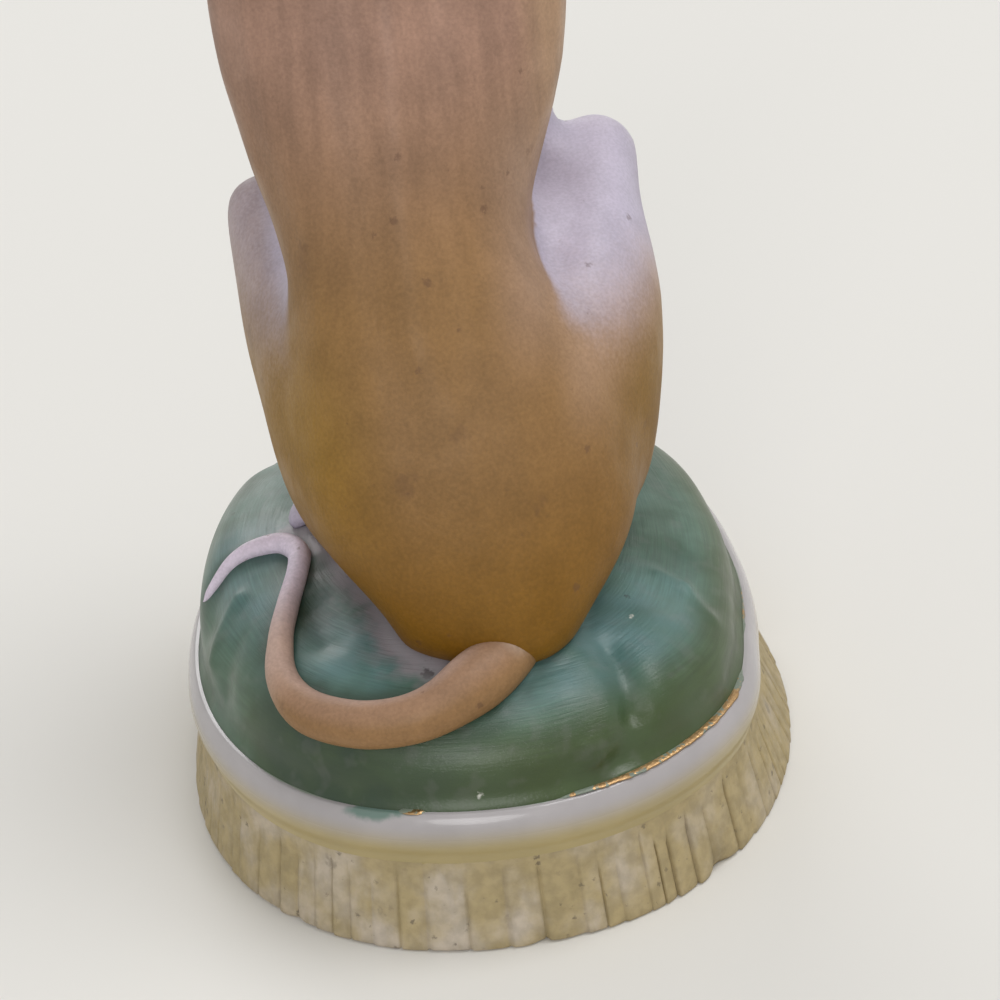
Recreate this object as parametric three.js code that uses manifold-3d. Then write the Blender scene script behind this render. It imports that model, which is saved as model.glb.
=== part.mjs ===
// Seated whippet figurine on a fringed oval cushion, in millimetres, +Z up.
// The dog faces -Y and its left side is +X. The origin is the centre of the footprint on the table.
// The figure is an assembly of clay castings: each is cut to its neighbours, with the slip joint as the gap.
import * as THREE from "three";
import { mergeVertices } from "three/addons/utils/BufferGeometryUtils.js";
import Module from "manifold-3d";

const wasm = await Module();
wasm.setup();

// Base: an oval footprint, a fluted fringe, a rolled rim, a gilt line and a puffed cushion
const FOOT_HALF_WIDTH = 31;
const FOOT_HALF_LENGTH = 36.5;
const OVAL_POWER = 2.15;
const FRINGE_HEIGHT = 9.3;
const FRINGE_FLARE = 1.9;
const FLUTE_COUNT = 92;
const FLUTE_DEPTH = 0.6;
const RIM_HEIGHT = 4.7;
const RIM_BULGE = 0.8;
const RIM_SETBACK = 0.5;
const GILT_WIDTH = 0.6;
const GILT_HEIGHT = 0.3;
const CUSHION_CROWN = 10.5;
const CUSHION_FULLNESS = 3;
const CUSHION_TILT = 1.8;
const TILT_FADE = 8;
const PUCKER_COUNT = 13;
const PUCKER_DEPTH = 0.45;
const PUCKER_START = 4;
const PUCKER_FADE = 8;
const BASE_WALL = 3.2;

// Slip joint between two luted castings
const SEAM = 0.3;

// Mesh density
const FRINGE_SIDES = 2 * FLUTE_COUNT;
const RIM_SIDES = 60;
const BEAD_STEPS = 5;
const CUSHION_SIDES = 52;
const CUSHION_ROWS = 7;
const HOLLOW_ROWS = 3;
const LIMB_SIDES = 16;
const ROWS_PER_SECTION = 2;
const TIP_ROWS = 3;

// Heights and outlines that follow from the driving sizes
const rimFoot = FRINGE_HEIGHT + SEAM;
const rimTop = rimFoot + RIM_HEIGHT;
const giltOuterInset = FRINGE_FLARE + RIM_SETBACK;
const giltInnerInset = giltOuterInset + GILT_WIDTH;
const cushionInset = giltInnerInset + SEAM;
const cushionFoot = rimTop + SEAM;
const cushionHalfWidth = FOOT_HALF_WIDTH - cushionInset;
const cushionHalfLength = FOOT_HALF_LENGTH - cushionInset;
const seatHeight = cushionFoot + CUSHION_CROWN;
const hollowInset = cushionInset + BASE_WALL;

// Margins on the cushion: from its front edge to the toes, and from its back and left edges to the tail
const FORE_TOE_MARGIN = 2.8;
const HIND_TOE_MARGIN = 9.2;
const TAIL_BACK_MARGIN = 3.5;
const TAIL_SIDE_MARGIN = 2.3;

// How far the joints of the hind legs and of the forelegs lie behind their toes
const FLANK_SETBACK = 18.5;
const STIFLE_SETBACK = 12;
const KNEE_SETBACK = 7.5;
const HOCK_SETBACK = 17;
const WRIST_SETBACK = 7.2;
const PASTERN_SETBACK = 6.2;

const foreToes = FORE_TOE_MARGIN - cushionHalfLength;
const hindToes = HIND_TOE_MARGIN - cushionHalfLength;

// Dog: the oval sections of each casting from its root to its tip, on the left side where there are two.
// Each has a centre, a half width across the dog and a half depth. Heights are above the cushion's crown.
// A section of a bone that runs straight between two joints has its share of the way instead of a centre.
const TORSO = {
  seat: { x: -0.6, y: 18, z: 1.2, wide: 9, deep: 7 },
  rump: { x: -1, y: 15.8, z: 6.5, wide: 14, deep: 9.4 },
  croup: { x: -0.2, y: 11.7, z: 14, wide: 15.2, deep: 11.2 },
  loin: { x: 1.3, y: 7, z: 22.5, wide: 13, deep: 11.4 },
  waist: { x: 2.3, y: 2, z: 30, wide: 11.4, deep: 11.6 },
  lastRib: { x: 2.3, y: -3, z: 37.5, wide: 13.6, deep: 13.4 },
  ribs: { x: 1.8, y: -7, z: 45, wide: 15.9, deep: 14.8 },
  chest: { x: 1.4, y: -10, z: 52.5, wide: 16.8, deep: 15 },
  shoulders: { x: 1, y: -12, z: 59.5, wide: 15, deep: 12.8 },
  withers: { x: 1, y: -13, z: 65.5, wide: 11.2, deep: 10.4 },
  collar: { x: 0.9, y: -13.2, z: 70, wide: 9, deep: 9 },
};

// Neck, from the torso's collar
const NECK = {
  base: { x: 0, y: 0, z: -2.5, wide: 9.4, deep: 9.6 },
  crest: { x: -0.2, y: -0.7, z: 3, wide: 7.1, deep: 7.7 },
  nape: { x: -0.4, y: 0, z: 9, wide: 6, deep: 6.5 },
  poll: { x: -0.6, y: 1.4, z: 14, wide: 5.6, deep: 6 },
};

// Head, from the neck's poll, and the ear, from the head's skull
const HEAD = {
  occiput: { x: 0, y: 5.3, z: 0.5, wide: 5, deep: 5 },
  skull: { x: -0.1, y: 1.8, z: 1, wide: 7.6, deep: 7.2 },
  brow: { x: -0.2, y: -2.7, z: 0.6, wide: 7.6, deep: 7 },
  stop: { x: -0.3, y: -7.2, z: -1.5, wide: 5.9, deep: 5.6 },
  muzzle: { x: -0.3, y: -12.2, z: -3.6, wide: 4.5, deep: 4.4 },
  bridge: { x: -0.3, y: -17.2, z: -5.4, wide: 3.7, deep: 3.7 },
  nose: { x: -0.3, y: -21.2, z: -6.6, wide: 3, deep: 3 },
};
const EAR = {
  root: { x: 5.3, y: -2.5, z: 3.5, wide: 1.3, deep: 2.4 },
  fold: { x: 7.1, y: 1, z: 3, wide: 1.5, deep: 3.2 },
  flap: { x: 8.3, y: 5, z: 1, wide: 1.2, deep: 2.6 },
  tip: { x: 8.5, y: 8, z: -1.2, wide: 0.8, deep: 1.4 },
};

// Hind leg
const THIGH = {
  hip: { x: 6, y: 12.5, z: 7, wide: 5.5, deep: 8 },
  buttock: { x: 9.4, y: 7.5, z: 9.6, wide: 7.2, deep: 12 },
  haunch: { x: 11.8, y: 1, z: 13.4, wide: 7.8, deep: 14.4 },
  flank: { x: 13.8, y: hindToes + FLANK_SETBACK, z: 19.5, wide: 6.9, deep: 11.8 },
  stifle: { x: 15.4, y: hindToes + STIFLE_SETBACK, z: 25.2, wide: 5.4, deep: 7.8 },
  knee: { x: 16.2, y: hindToes + KNEE_SETBACK, z: 28.7, wide: 4.4, deep: 4.8 },
};
const HOCK = { x: 16.3, y: hindToes + HOCK_SETBACK, z: 2.9 };
const SHANK = {
  knee: { along: 0.07, wide: 4.3, deep: 4.8 },
  calf: { along: 0.34, wide: 4.3, deep: 5.3 },
  shin: { along: 0.61, wide: 3.8, deep: 4.6 },
  tendon: { along: 0.85, wide: 3.2, deep: 3.7 },
  hock: { along: 1, wide: 2.9, deep: 3.2 },
};

// Foreleg
const UPPER_ARM = {
  blade: { x: 9.6, y: -12.4, z: 60, wide: 3.8, deep: 6 },
  shoulder: { x: 10.2, y: -14.8, z: 53, wide: 5.4, deep: 8.2 },
  upperArm: { x: 9.8, y: -15, z: 43.5, wide: 5.1, deep: 7.2 },
};
const ELBOW = { x: 9.2, y: -15.5, z: 33.5 };
const WRIST = { x: 7.6, y: foreToes + WRIST_SETBACK, z: 5 };
const FOREARM = {
  elbow: { along: 0, wide: 4.2, deep: 5.2 },
  forearm: { along: 0.37, wide: 3.4, deep: 3.9 },
  shin: { along: 0.75, wide: 3, deep: 3.3 },
  wrist: { along: 1, wide: 3.2, deep: 3.4 },
};
const PASTERN = { x: 7.4, y: foreToes + PASTERN_SETBACK, z: 1.2, wide: 2.9, deep: 3.1 };

// Feet lie on the cushion: y is how far a section lies behind the toes, and z its height above the surface
const HIND_FOOT = {
  heel: { x: 16.3, y: 18.4, z: 2.4, wide: 2.8, deep: 2.8 },
  arch: { x: 16.4, y: 13, z: 2, wide: 3, deep: 2.9 },
  instep: { x: 16.5, y: 7, z: 2, wide: 3.9, deep: 3.3 },
  ball: { x: 16.5, y: 3, z: 1.4, wide: 4.2, deep: 3.1 },
  toes: { x: 16.4, y: 0, z: 0.6, wide: 3.6, deep: 2.3 },
};
const FORE_PAW = {
  heel: { x: 7.4, y: 8.1, z: 2.3, wide: 3, deep: 2.6 },
  instep: { x: 7.4, y: 5.4, z: 2.4, wide: 3.9, deep: 3.2 },
  ball: { x: 7.5, y: 2.4, z: 1.8, wide: 4.3, deep: 3 },
  toes: { x: 7.6, y: 0, z: 0.8, wide: 3.6, deep: 2.2 },
};

// The tail's line on the cushion from root to tip: x, y, height above the surface, radius
const TAIL = [
  [-2.4, 20, 0.8, 3],
  [-1.8, 25, 1, 2.9],
  [1.6, 28.4, 1.1, 2.7],
  [6.5, 29.7, 1.1, 2.5],
  [11.4, 28.7, 1.1, 2.3],
  [16, 25.8, 1, 2.1],
  [18.4, 21.8, 0.9, 1.8],
  [18.9, 17.4, 0.7, 1.5],
  [18.2, 12, 0.6, 1.3],
  [17.2, 7.2, 0.6, 1.2],
  [17.6, 3.2, 0.6, 1.2],
  [20.2, 1.6, 0.5, 1],
  [22.9, 1.8, 0.4, 0.8],
  [25.4, 2.3, 0.3, 0.6],
];

// Lengths of the rounded ends of the castings
const RUMP_TIP = 4;
const NECK_TIP = 2;
const OCCIPUT_TIP = 3;
const NOSE_TIP = 1.6;
const EAR_TIP = 1.2;
const HIP_TIP = 4;
const KNEE_TIP = 3.2;
const SHOULDER_TIP = 4;
const LEG_TIP = 1.5;
const TOE_TIP = 1.4;
const TAIL_TIP = 0.6;

// The underside of the torso is narrower than the back
const CHEST_KEEL = 0.25;

// The dog leans: at the height given, a pair of limbs is shifted towards its left,
// and the left limb is lowered as much as the right one is raised
const UPRIGHT = { height: 1, shift: 0, drop: 0 };
const HAUNCH_LEAN = { height: 28.7, shift: -1, drop: 1.2 };
const SHOULDER_LEAN = { height: 51, shift: 1.4, drop: 0 };

// Finishes of the fired and painted surfaces
const BISQUE = { color: 0xcfc3a4, roughness: 0.85, metalness: 0 };
const WHITE_GLAZE = { color: 0xe4e0dc, roughness: 0.25, metalness: 0 };
const GILT = { color: 0xc08a3a, roughness: 0.35, metalness: 1 };
const GREEN_ENAMEL = { color: 0x4f7a68, roughness: 0.35, metalness: 0 };
const TAN_BISQUE = { color: 0xa5805a, roughness: 0.6, metalness: 0 };
const WHITE_BISQUE = { color: 0xd8d0d0, roughness: 0.6, metalness: 0 };

// A point of an oval outline at an angle round the footprint
function ovalPoint(halfWidth, halfLength, angle) {
  const c = Math.cos(angle);
  const s = Math.sin(angle);
  return [
    halfWidth * Math.sign(c) * Math.abs(c) ** (2 / OVAL_POWER),
    halfLength * Math.sign(s) * Math.abs(s) ** (2 / OVAL_POWER),
  ];
}

// A closed surface from rows of points: loops that run on into each other, or that close on two poles
function loopsGeometry(rows, startPole, endPole) {
  const sides = rows[0].length;
  const points = rows.flat();
  const faces = [];
  const ring = startPole === undefined;
  const joins = ring ? rows.length : rows.length - 1;
  for (let k = 0; k < joins; k += 1) {
    const here = k * sides;
    const next = ((k + 1) % rows.length) * sides;
    for (let i = 0; i < sides; i += 1) {
      const j = (i + 1) % sides;
      faces.push(here + i, here + j, next + j, here + i, next + j, next + i);
    }
  }
  if (!ring) {
    const first = points.push(startPole) - 1;
    const last = points.push(endPole) - 1;
    const lastRow = (rows.length - 1) * sides;
    for (let i = 0; i < sides; i += 1) {
      const j = (i + 1) % sides;
      faces.push(first, j, i, last, lastRow + i, lastRow + j);
    }
  }
  const geometry = new THREE.BufferGeometry();
  geometry.setAttribute("position", new THREE.Float32BufferAttribute(points.flat(), 3));
  geometry.setIndex(faces);
  return geometry;
}

// A ring of the base: a section of [inset from the footprint's edge, height], outer side first,
// swept round the oval
function ovalRing(section, sides, ripple = () => 0) {
  const rows = section.map(([inset, z]) => {
    const row = [];
    for (let i = 0; i < sides; i += 1) {
      const depth = inset + ripple(inset, i);
      const angle = (2 * Math.PI * i) / sides;
      row.push([...ovalPoint(FOOT_HALF_WIDTH - depth, FOOT_HALF_LENGTH - depth, angle), z]);
    }
    return row;
  });
  return loopsGeometry(rows);
}

// The fringe hangs from the rim and flares to the table, with flutes all round
function fringeGeometry() {
  const section = [
    [0, 0],
    [FRINGE_FLARE, FRINGE_HEIGHT],
    [hollowInset, FRINGE_HEIGHT],
    [BASE_WALL, 0],
  ];
  const flute = (inset, i) => (inset <= FRINGE_FLARE && i % 2 ? FLUTE_DEPTH : 0);
  return ovalRing(section, FRINGE_SIDES, flute);
}

// The rolled rim: a half-round bead with a flat top that carries the gilt line and the cushion
function rimGeometry() {
  const section = [];
  for (let k = 0; k <= BEAD_STEPS; k += 1) {
    const turn = Math.PI * (k / BEAD_STEPS) - Math.PI / 2;
    const rise = (Math.sin(turn) + 1) / 2;
    const inset = FRINGE_FLARE + RIM_SETBACK * rise ** 2 - RIM_BULGE * Math.cos(turn);
    section.push([inset, rimFoot + RIM_HEIGHT * rise]);
  }
  section.push([hollowInset, rimTop], [hollowInset, rimFoot]);
  return ovalRing(section, RIM_SIDES);
}

// The gilt line lies on the rim's flat top, along the cushion's foot
function giltGeometry() {
  const section = [
    [giltOuterInset, rimTop],
    [giltOuterInset, rimTop + GILT_HEIGHT],
    [giltInnerInset, rimTop + GILT_HEIGHT],
    [giltInnerInset, rimTop],
  ];
  return ovalRing(section, RIM_SIDES);
}

// Soft folds that gather towards the cushion's edge. A reach of 0 is the crown and 1 is the edge.
function puckerDepth(reach, angle) {
  const share = reach ** PUCKER_START * (1 - reach ** PUCKER_FADE);
  return PUCKER_DEPTH * share * (1 + Math.cos(PUCKER_COUNT * angle));
}

// A dome of the cushion's form above its foot, a little fuller on the dog's left
function domeHeight(crown, reach, across) {
  const dome = crown * (1 - reach ** CUSHION_FULLNESS) ** (1 / CUSHION_FULLNESS);
  return dome + CUSHION_TILT * across * (1 - reach ** TILT_FADE);
}

// The cushion's surface under a point of the dog, as a height above its crown
function cushionLevel(x, y) {
  const across = x / cushionHalfWidth;
  const along = y / cushionHalfLength;
  const reach = (Math.abs(across) ** OVAL_POWER + Math.abs(along) ** OVAL_POWER) ** (1 / OVAL_POWER);
  const inside = Math.min(reach, 1);
  const fold = puckerDepth(inside, Math.atan2(along, across));
  return domeHeight(CUSHION_CROWN, inside, across) - fold - CUSHION_CROWN;
}

// The dome as rows of points from its edge to its crown
function domeRows(halfWidth, halfLength, crown, count, pucker) {
  const rows = [];
  for (let k = count; k >= 1; k -= 1) {
    const reach = Math.sin((Math.PI / 2) * (k / count)) ** (2 / CUSHION_FULLNESS);
    const row = [];
    for (let i = 0; i < CUSHION_SIDES; i += 1) {
      const angle = (2 * Math.PI * i) / CUSHION_SIDES;
      const [x, y] = ovalPoint(halfWidth * reach, halfLength * reach, angle);
      const across = x / halfWidth;
      const fold = pucker(reach, Math.atan2(y / halfLength, across));
      row.push([x, y, cushionFoot + domeHeight(crown, reach, across) - fold]);
    }
    rows.push(row);
  }
  return rows;
}

function puckeredRows(grow) {
  const crown = CUSHION_CROWN + grow;
  return domeRows(cushionHalfWidth + grow, cushionHalfLength + grow, crown, CUSHION_ROWS, puckerDepth);
}

// The cushion: a puckered shell over a plain hollow
function cushionGeometry() {
  const hollowCrown = CUSHION_CROWN - BASE_WALL;
  const hollowWidth = cushionHalfWidth - BASE_WALL;
  const hollowLength = cushionHalfLength - BASE_WALL;
  const hollow = domeRows(hollowWidth, hollowLength, hollowCrown, HOLLOW_ROWS, () => 0).reverse();
  const rows = [...hollow, ...puckeredRows(0)];
  return loopsGeometry(rows, [0, 0, cushionFoot + hollowCrown], [0, 0, seatHeight]);
}

// The cushion as what rests on it meets it: solid, swollen by the seam, in the dog's heights above the seat
function seatGeometry() {
  const dome = loopsGeometry(puckeredRows(SEAM), [0, 0, cushionFoot], [0, 0, seatHeight + SEAM]);
  return dome.translate(0, 0, -seatHeight);
}

// The directions across a section and towards its back, square to the casting's line.
// A lying casting keeps its back up, and any other keeps its width across the dog.
function sectionAxes(tangent, lying) {
  const guide = lying ? new THREE.Vector3(0, 0, 1) : new THREE.Vector3(1, 0, 0);
  guide.addScaledVector(tangent, -guide.dot(tangent)).normalize();
  if (lying) return { side: guide.clone().cross(tangent), back: guide };
  return { side: guide, back: tangent.clone().cross(guide) };
}

// A casting of oval sections that swells and tapers along a smooth line and closes in rounded ends.
// grow swells it all over, and keel draws in the side away from its back.
function limbGeometry(sections, { rootTip, endTip, keel = 0, lying = false, grow = 0 }) {
  const list = Object.values(sections);
  const line = new THREE.CatmullRomCurve3(list.map((s) => new THREE.Vector3(s.x, s.y, s.z)));
  const girth = new THREE.CatmullRomCurve3(list.map((s) => new THREE.Vector3(s.wide, s.deep, 0)));
  const centre = (share, ahead) => line.getPoint(share).addScaledVector(line.getTangent(share), ahead);
  const section = (share, ahead, scale) => {
    const { side, back } = sectionAxes(line.getTangent(share), lying);
    const middle = centre(share, ahead);
    const { x: wide, y: deep } = girth.getPoint(share);
    const row = [];
    for (let i = 0; i < LIMB_SIDES; i += 1) {
      const angle = (2 * Math.PI * i) / LIMB_SIDES;
      const lateral = (wide + grow) * scale * Math.cos(angle) * (1 + (keel * Math.sin(angle)) / 2);
      const sagittal = (deep + grow) * scale * Math.sin(angle);
      row.push(middle.clone().addScaledVector(side, lateral).addScaledVector(back, sagittal).toArray());
    }
    return row;
  };
  const rows = [];
  for (let k = 1; k <= TIP_ROWS; k += 1) {
    const turn = (Math.PI / 2) * (k / (TIP_ROWS + 1));
    rows.push(section(0, -(rootTip + grow) * Math.cos(turn), Math.sin(turn)));
  }
  const steps = ROWS_PER_SECTION * (list.length - 1);
  for (let k = 0; k <= steps; k += 1) {
    rows.push(section(k / steps, 0, 1));
  }
  for (let k = TIP_ROWS; k >= 1; k -= 1) {
    const turn = (Math.PI / 2) * (k / (TIP_ROWS + 1));
    rows.push(section(1, (endTip + grow) * Math.cos(turn), Math.sin(turn)));
  }
  return loopsGeometry(rows, centre(0, -rootTip - grow).toArray(), centre(1, endTip + grow).toArray());
}

// A geometry as a solid for cutting, and a solid as a geometry
function solidOf(geometry) {
  const merged = mergeVertices(geometry);
  return new wasm.Manifold(
    new wasm.Mesh({
      numProp: 3,
      vertProperties: merged.attributes.position.array,
      triVerts: new Uint32Array(merged.index.array),
    }),
  );
}

function geometryOf(solid) {
  const mesh = solid.getMesh();
  const geometry = new THREE.BufferGeometry();
  geometry.setAttribute("position", new THREE.Float32BufferAttribute(mesh.vertProperties, 3));
  geometry.setIndex(Array.from(mesh.triVerts));
  return geometry;
}

// A casting of the dog: its own form, and the same form swollen by the seam for cutting its neighbours
function casting(sections, form) {
  return {
    solid: solidOf(limbGeometry(sections, form)),
    swollen: solidOf(limbGeometry(sections, { ...form, grow: SEAM })),
  };
}

// A casting trimmed to its neighbours, without the crumbs that a cut leaves
function cutBy(piece, ...neighbours) {
  const trimmed = neighbours.reduce((solid, neighbour) => solid.subtract(neighbour.swollen), piece.solid);
  const bodies = trimmed.decompose();
  return geometryOf(bodies.reduce((most, body) => (body.volume() > most.volume() ? body : most)));
}

function node(name, geometry, finish) {
  const mesh = new THREE.Mesh(geometry, new THREE.MeshStandardMaterial(finish));
  mesh.name = name;
  return mesh;
}

// The same sections, each changed in some of its values
function changed(sections, change) {
  return Object.fromEntries(Object.entries(sections).map(([name, s]) => [name, { ...s, ...change(s) }]));
}

// Sections whose centres are measured from the centre of another section
function from(origin, sections) {
  return changed(sections, (s) => ({ x: s.x + origin.x, y: s.y + origin.y, z: s.z + origin.z }));
}

// Sections along a bone, at their shares of the way between its joints
function onBone(sections, start, end) {
  const mix = (a, b, share) => a + (b - a) * share;
  return changed(sections, ({ along }) => ({
    x: mix(start.x, end.x, along),
    y: mix(start.y, end.y, along),
    z: mix(start.z, end.z, along),
  }));
}

// Sections on the dog's left (side 1) or right (side -1), leaning with the dog
function onSide(sections, side, lean = UPRIGHT) {
  return changed(sections, (s) => {
    const share = s.z / lean.height;
    return { x: s.x * side + lean.shift * share, z: s.z - side * lean.drop * share };
  });
}

// Sections that lie on the cushion, raised or lowered to its surface
function onCushion(sections) {
  return changed(sections, (s) => ({ z: s.z + cushionLevel(s.x, s.y) }));
}

// A foot on the cushion, with its toes at their place
function footAt(sections, side, toes) {
  return onCushion(changed(onSide(sections, side), (s) => ({ y: s.y + toes })));
}

// The tail's line spread to its margins from the cushion's back and left edges
function tailSections() {
  const left = Math.max(...TAIL.map(([x]) => x));
  const back = Math.max(...TAIL.map(([, y]) => y));
  const across = (cushionHalfWidth - TAIL_SIDE_MARGIN) / left;
  const along = (cushionHalfLength - TAIL_BACK_MARGIN) / back;
  const lie = ([x, y, z, radius]) => ({ x: x * across, y: y * along, z, wide: radius, deep: radius });
  return onCushion(TAIL.map(lie));
}

const seat = { swollen: solidOf(seatGeometry()) };
const torso = casting(TORSO, { rootTip: RUMP_TIP, endTip: NECK_TIP, keel: CHEST_KEEL });
const neckSections = from(TORSO.collar, NECK);
const headSections = from(neckSections.poll, HEAD);
const neck = casting(neckSections, { rootTip: NECK_TIP, endTip: NECK_TIP });
const head = casting(headSections, { rootTip: OCCIPUT_TIP, endTip: NOSE_TIP });
const tail = casting(tailSections(), { rootTip: LEG_TIP, endTip: TAIL_TIP, lying: true });

const shankSections = onBone(SHANK, THIGH.knee, HOCK);
const forelegSections = { ...UPPER_ARM, ...onBone(FOREARM, ELBOW, WRIST), pastern: PASTERN };

const dog = new THREE.Group();
dog.position.z = seatHeight;
dog.add(node("torso", cutBy(torso, seat), TAN_BISQUE));
dog.add(node("neck", cutBy(neck, torso, head), TAN_BISQUE));
dog.add(node("head", geometryOf(head.solid), TAN_BISQUE));

const hindquarters = [];
for (const [prefix, side] of [["left", 1], ["right", -1]]) {
  const ear = casting(from(headSections.skull, onSide(EAR, side)), { rootTip: EAR_TIP, endTip: EAR_TIP });
  const thigh = casting(onSide(THIGH, side, HAUNCH_LEAN), { rootTip: HIP_TIP, endTip: KNEE_TIP });
  const shank = casting(onSide(shankSections, side, HAUNCH_LEAN), { rootTip: LEG_TIP, endTip: LEG_TIP });
  const hindFoot = casting(footAt(HIND_FOOT, side, hindToes), { rootTip: LEG_TIP, endTip: TOE_TIP });
  const legForm = { rootTip: SHOULDER_TIP, endTip: LEG_TIP };
  const foreleg = casting(onSide(forelegSections, side, SHOULDER_LEAN), legForm);
  const forePaw = casting(footAt(FORE_PAW, side, foreToes), { rootTip: LEG_TIP, endTip: TOE_TIP });
  dog.add(node(`${prefix}_ear`, cutBy(ear, head, neck), TAN_BISQUE));
  dog.add(node(`${prefix}_thigh`, cutBy(thigh, torso, seat), TAN_BISQUE));
  dog.add(node(`${prefix}_shank`, cutBy(shank, thigh, torso, seat), WHITE_BISQUE));
  dog.add(node(`${prefix}_hind_foot`, cutBy(hindFoot, shank, thigh, seat), WHITE_BISQUE));
  dog.add(node(`${prefix}_foreleg`, cutBy(foreleg, torso, thigh, shank, seat), WHITE_BISQUE));
  dog.add(node(`${prefix}_fore_paw`, cutBy(forePaw, foreleg, seat), WHITE_BISQUE));
  hindquarters.push(thigh, hindFoot);
}
dog.add(node("tail", cutBy(tail, torso, ...hindquarters, seat), TAN_BISQUE));

const figurine = new THREE.Group();
figurine.add(node("base_fringe", fringeGeometry(), BISQUE));
figurine.add(node("base_rim", rimGeometry(), WHITE_GLAZE));
figurine.add(node("gilt_line", giltGeometry(), GILT));
figurine.add(node("cushion", cushionGeometry(), GREEN_ENAMEL));
figurine.add(dog);

export default figurine;
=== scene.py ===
"""Looks of a seated whippet figurine.

A painted bisque dog sits on a green enamel cushion with a glazed rim, worn gilding and a fluted fringe.
"""

import math

import bmesh
import bpy
import numpy as np
from mathutils import Matrix, Vector
from mathutils.bvhtree import BVHTree


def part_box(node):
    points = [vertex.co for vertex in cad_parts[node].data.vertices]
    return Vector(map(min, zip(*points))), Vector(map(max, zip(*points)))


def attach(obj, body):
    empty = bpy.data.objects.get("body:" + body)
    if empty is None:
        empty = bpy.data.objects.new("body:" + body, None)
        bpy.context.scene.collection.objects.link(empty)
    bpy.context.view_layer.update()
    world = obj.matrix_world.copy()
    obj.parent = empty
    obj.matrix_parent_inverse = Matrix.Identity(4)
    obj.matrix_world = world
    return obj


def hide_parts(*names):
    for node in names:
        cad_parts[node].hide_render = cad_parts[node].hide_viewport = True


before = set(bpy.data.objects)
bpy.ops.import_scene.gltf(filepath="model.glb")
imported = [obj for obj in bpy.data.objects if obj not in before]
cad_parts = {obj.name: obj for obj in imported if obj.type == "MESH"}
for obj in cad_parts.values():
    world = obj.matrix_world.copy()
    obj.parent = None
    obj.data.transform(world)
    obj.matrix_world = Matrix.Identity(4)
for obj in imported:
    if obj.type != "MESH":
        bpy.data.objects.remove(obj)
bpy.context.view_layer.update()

MM = 0.001
SEED = 7
FULL_TURN = 2 * math.pi

# Columns: of points, of places on the tail and of places on the cushion.
X, Y, Z = 0, 1, 2
ALONG, UP, INWARD = 0, 1, 2
REACH = 3

# Lengths are in millimetres and colours are display values. Where no other meaning is given, a pair of
# numbers is a range that something fades in over, from none at the first to all at the second. A column
# before it says what is measured, and a share before it says how much fades in.

# Camera fitted to the photograph. Its angles are in degrees, and its focal length is in sensor widths.
CAMERA_TARGET = (-3.56, 0.0, 26.69)
CAMERA_DISTANCE = 260.0
CAMERA_ELEVATION = 30.0
CAMERA_ROLL = -6.52
CAMERA_FOCAL = 2.624
CAMERA_NEAR = 10.0
SENSOR = 36.0

# Studio, in metres.
FLOOR_COLOUR = (226, 224, 219)
BACKGROUND_COLOUR = (232, 231, 226)
LIGHT_COLOUR = (242, 242, 242)
FLOOR_SIZE = 40.0
FLOOR_FADE = (0.15, 0.7)
WORLD_STRENGTH = 0.53
LAMP_TARGET = (0.0, 0.0, 0.045)

# Lamps: name, place, size and watts.
LAMPS = (
    ("key", (-0.8, -0.1, 2.0), 1.3, 20.0),
    ("rear", (0.3, 2.1, 1.1), 1.2, 13.0),
    ("front", (0.5, -2.0, 1.2), 1.2, 11.0),
)

# Base.
OVAL_POWER = 2.15
FRINGE_FLARE = 1.9
HOLLOW_INSET = 6.5
LAP = 0.5

# How far the base above its foot is drawn in on the dog's right.
RIGHT_TAPER = 1.75
TAPER = ((X, -8, -24), (Y, 23, 7), (Y, -26, -6))

# Dog: its skin is made swollen, so that the castings join, and most of the swelling is taken back.
DOG_VOXEL = 0.6
DOG_SWELL = 0.45
SWELL_TAKEN_BACK = 0.8
DOG_NODES = ("torso", "neck", "head") + tuple(
    f"{side}_{part}"
    for side in ("left", "right")
    for part in ("ear", "thigh", "shank", "hind_foot", "foreleg", "fore_paw")
)
TRUNK_NODES = ("torso", "neck", "head", "left_ear", "right_ear")
THIGH_NODES = ("left_thigh", "right_thigh")
WHITE_NODES = tuple(name for name in DOG_NODES if name not in TRUNK_NODES + THIGH_NODES)
FOOT_NODES = ("left_fore_paw", "right_fore_paw", "left_hind_foot", "right_hind_foot")

# Smoothing of the skin: rounds, and the share of the way to the neighbours' mean in each.
RELAX_SHARE = 0.5
SKIN_ROUNDS = 10
HAUNCH_FILL_ROUNDS = 200
HAUNCH_ROUNDS = 140
BODY_ROUNDS = 8
FINE_SHARE = 0.4
FINE_ROUNDS = 3
NORMALS_EVERY = 10

# Where the haunches are smoothed into the body, and the body's top.
HAUNCH = ((Z, 25, 27), (Z, 54, 47), (Y, -6, 2))
HAUNCH_ACROSS = (7, 10)
BODY_TOP = (100, 94)

# The head above this height, and the paws, get a finer mesh.
FINE_HEAD = 100
FINE_PAWS_FRONT = -20
FINE_PAWS_TOP = 32

# Extra clay, as centre and radii of each lump: beside and behind the right knee, and the left heel.
# The heel is left out of the haunches' smoothing.
HEEL = (18.4, -1.8, 26.7)
HEEL_RADIUS = 2.6
HEEL_EDGE = (0.7, 0.2)
LUMP_DETAIL = 4
WEBS = (
    ((-11.2, -6.5, 50.3), (4.6, 10.0, 6.8)),
    ((-12.8, -13.0, 56.8), (3.6, 4.5, 3.6)),
    ((-8.4, -9.4, 55.6), (2.4, 3.2, 2.4)),
    (HEEL, (2.0, 3.0, 1.9)),
)

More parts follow.
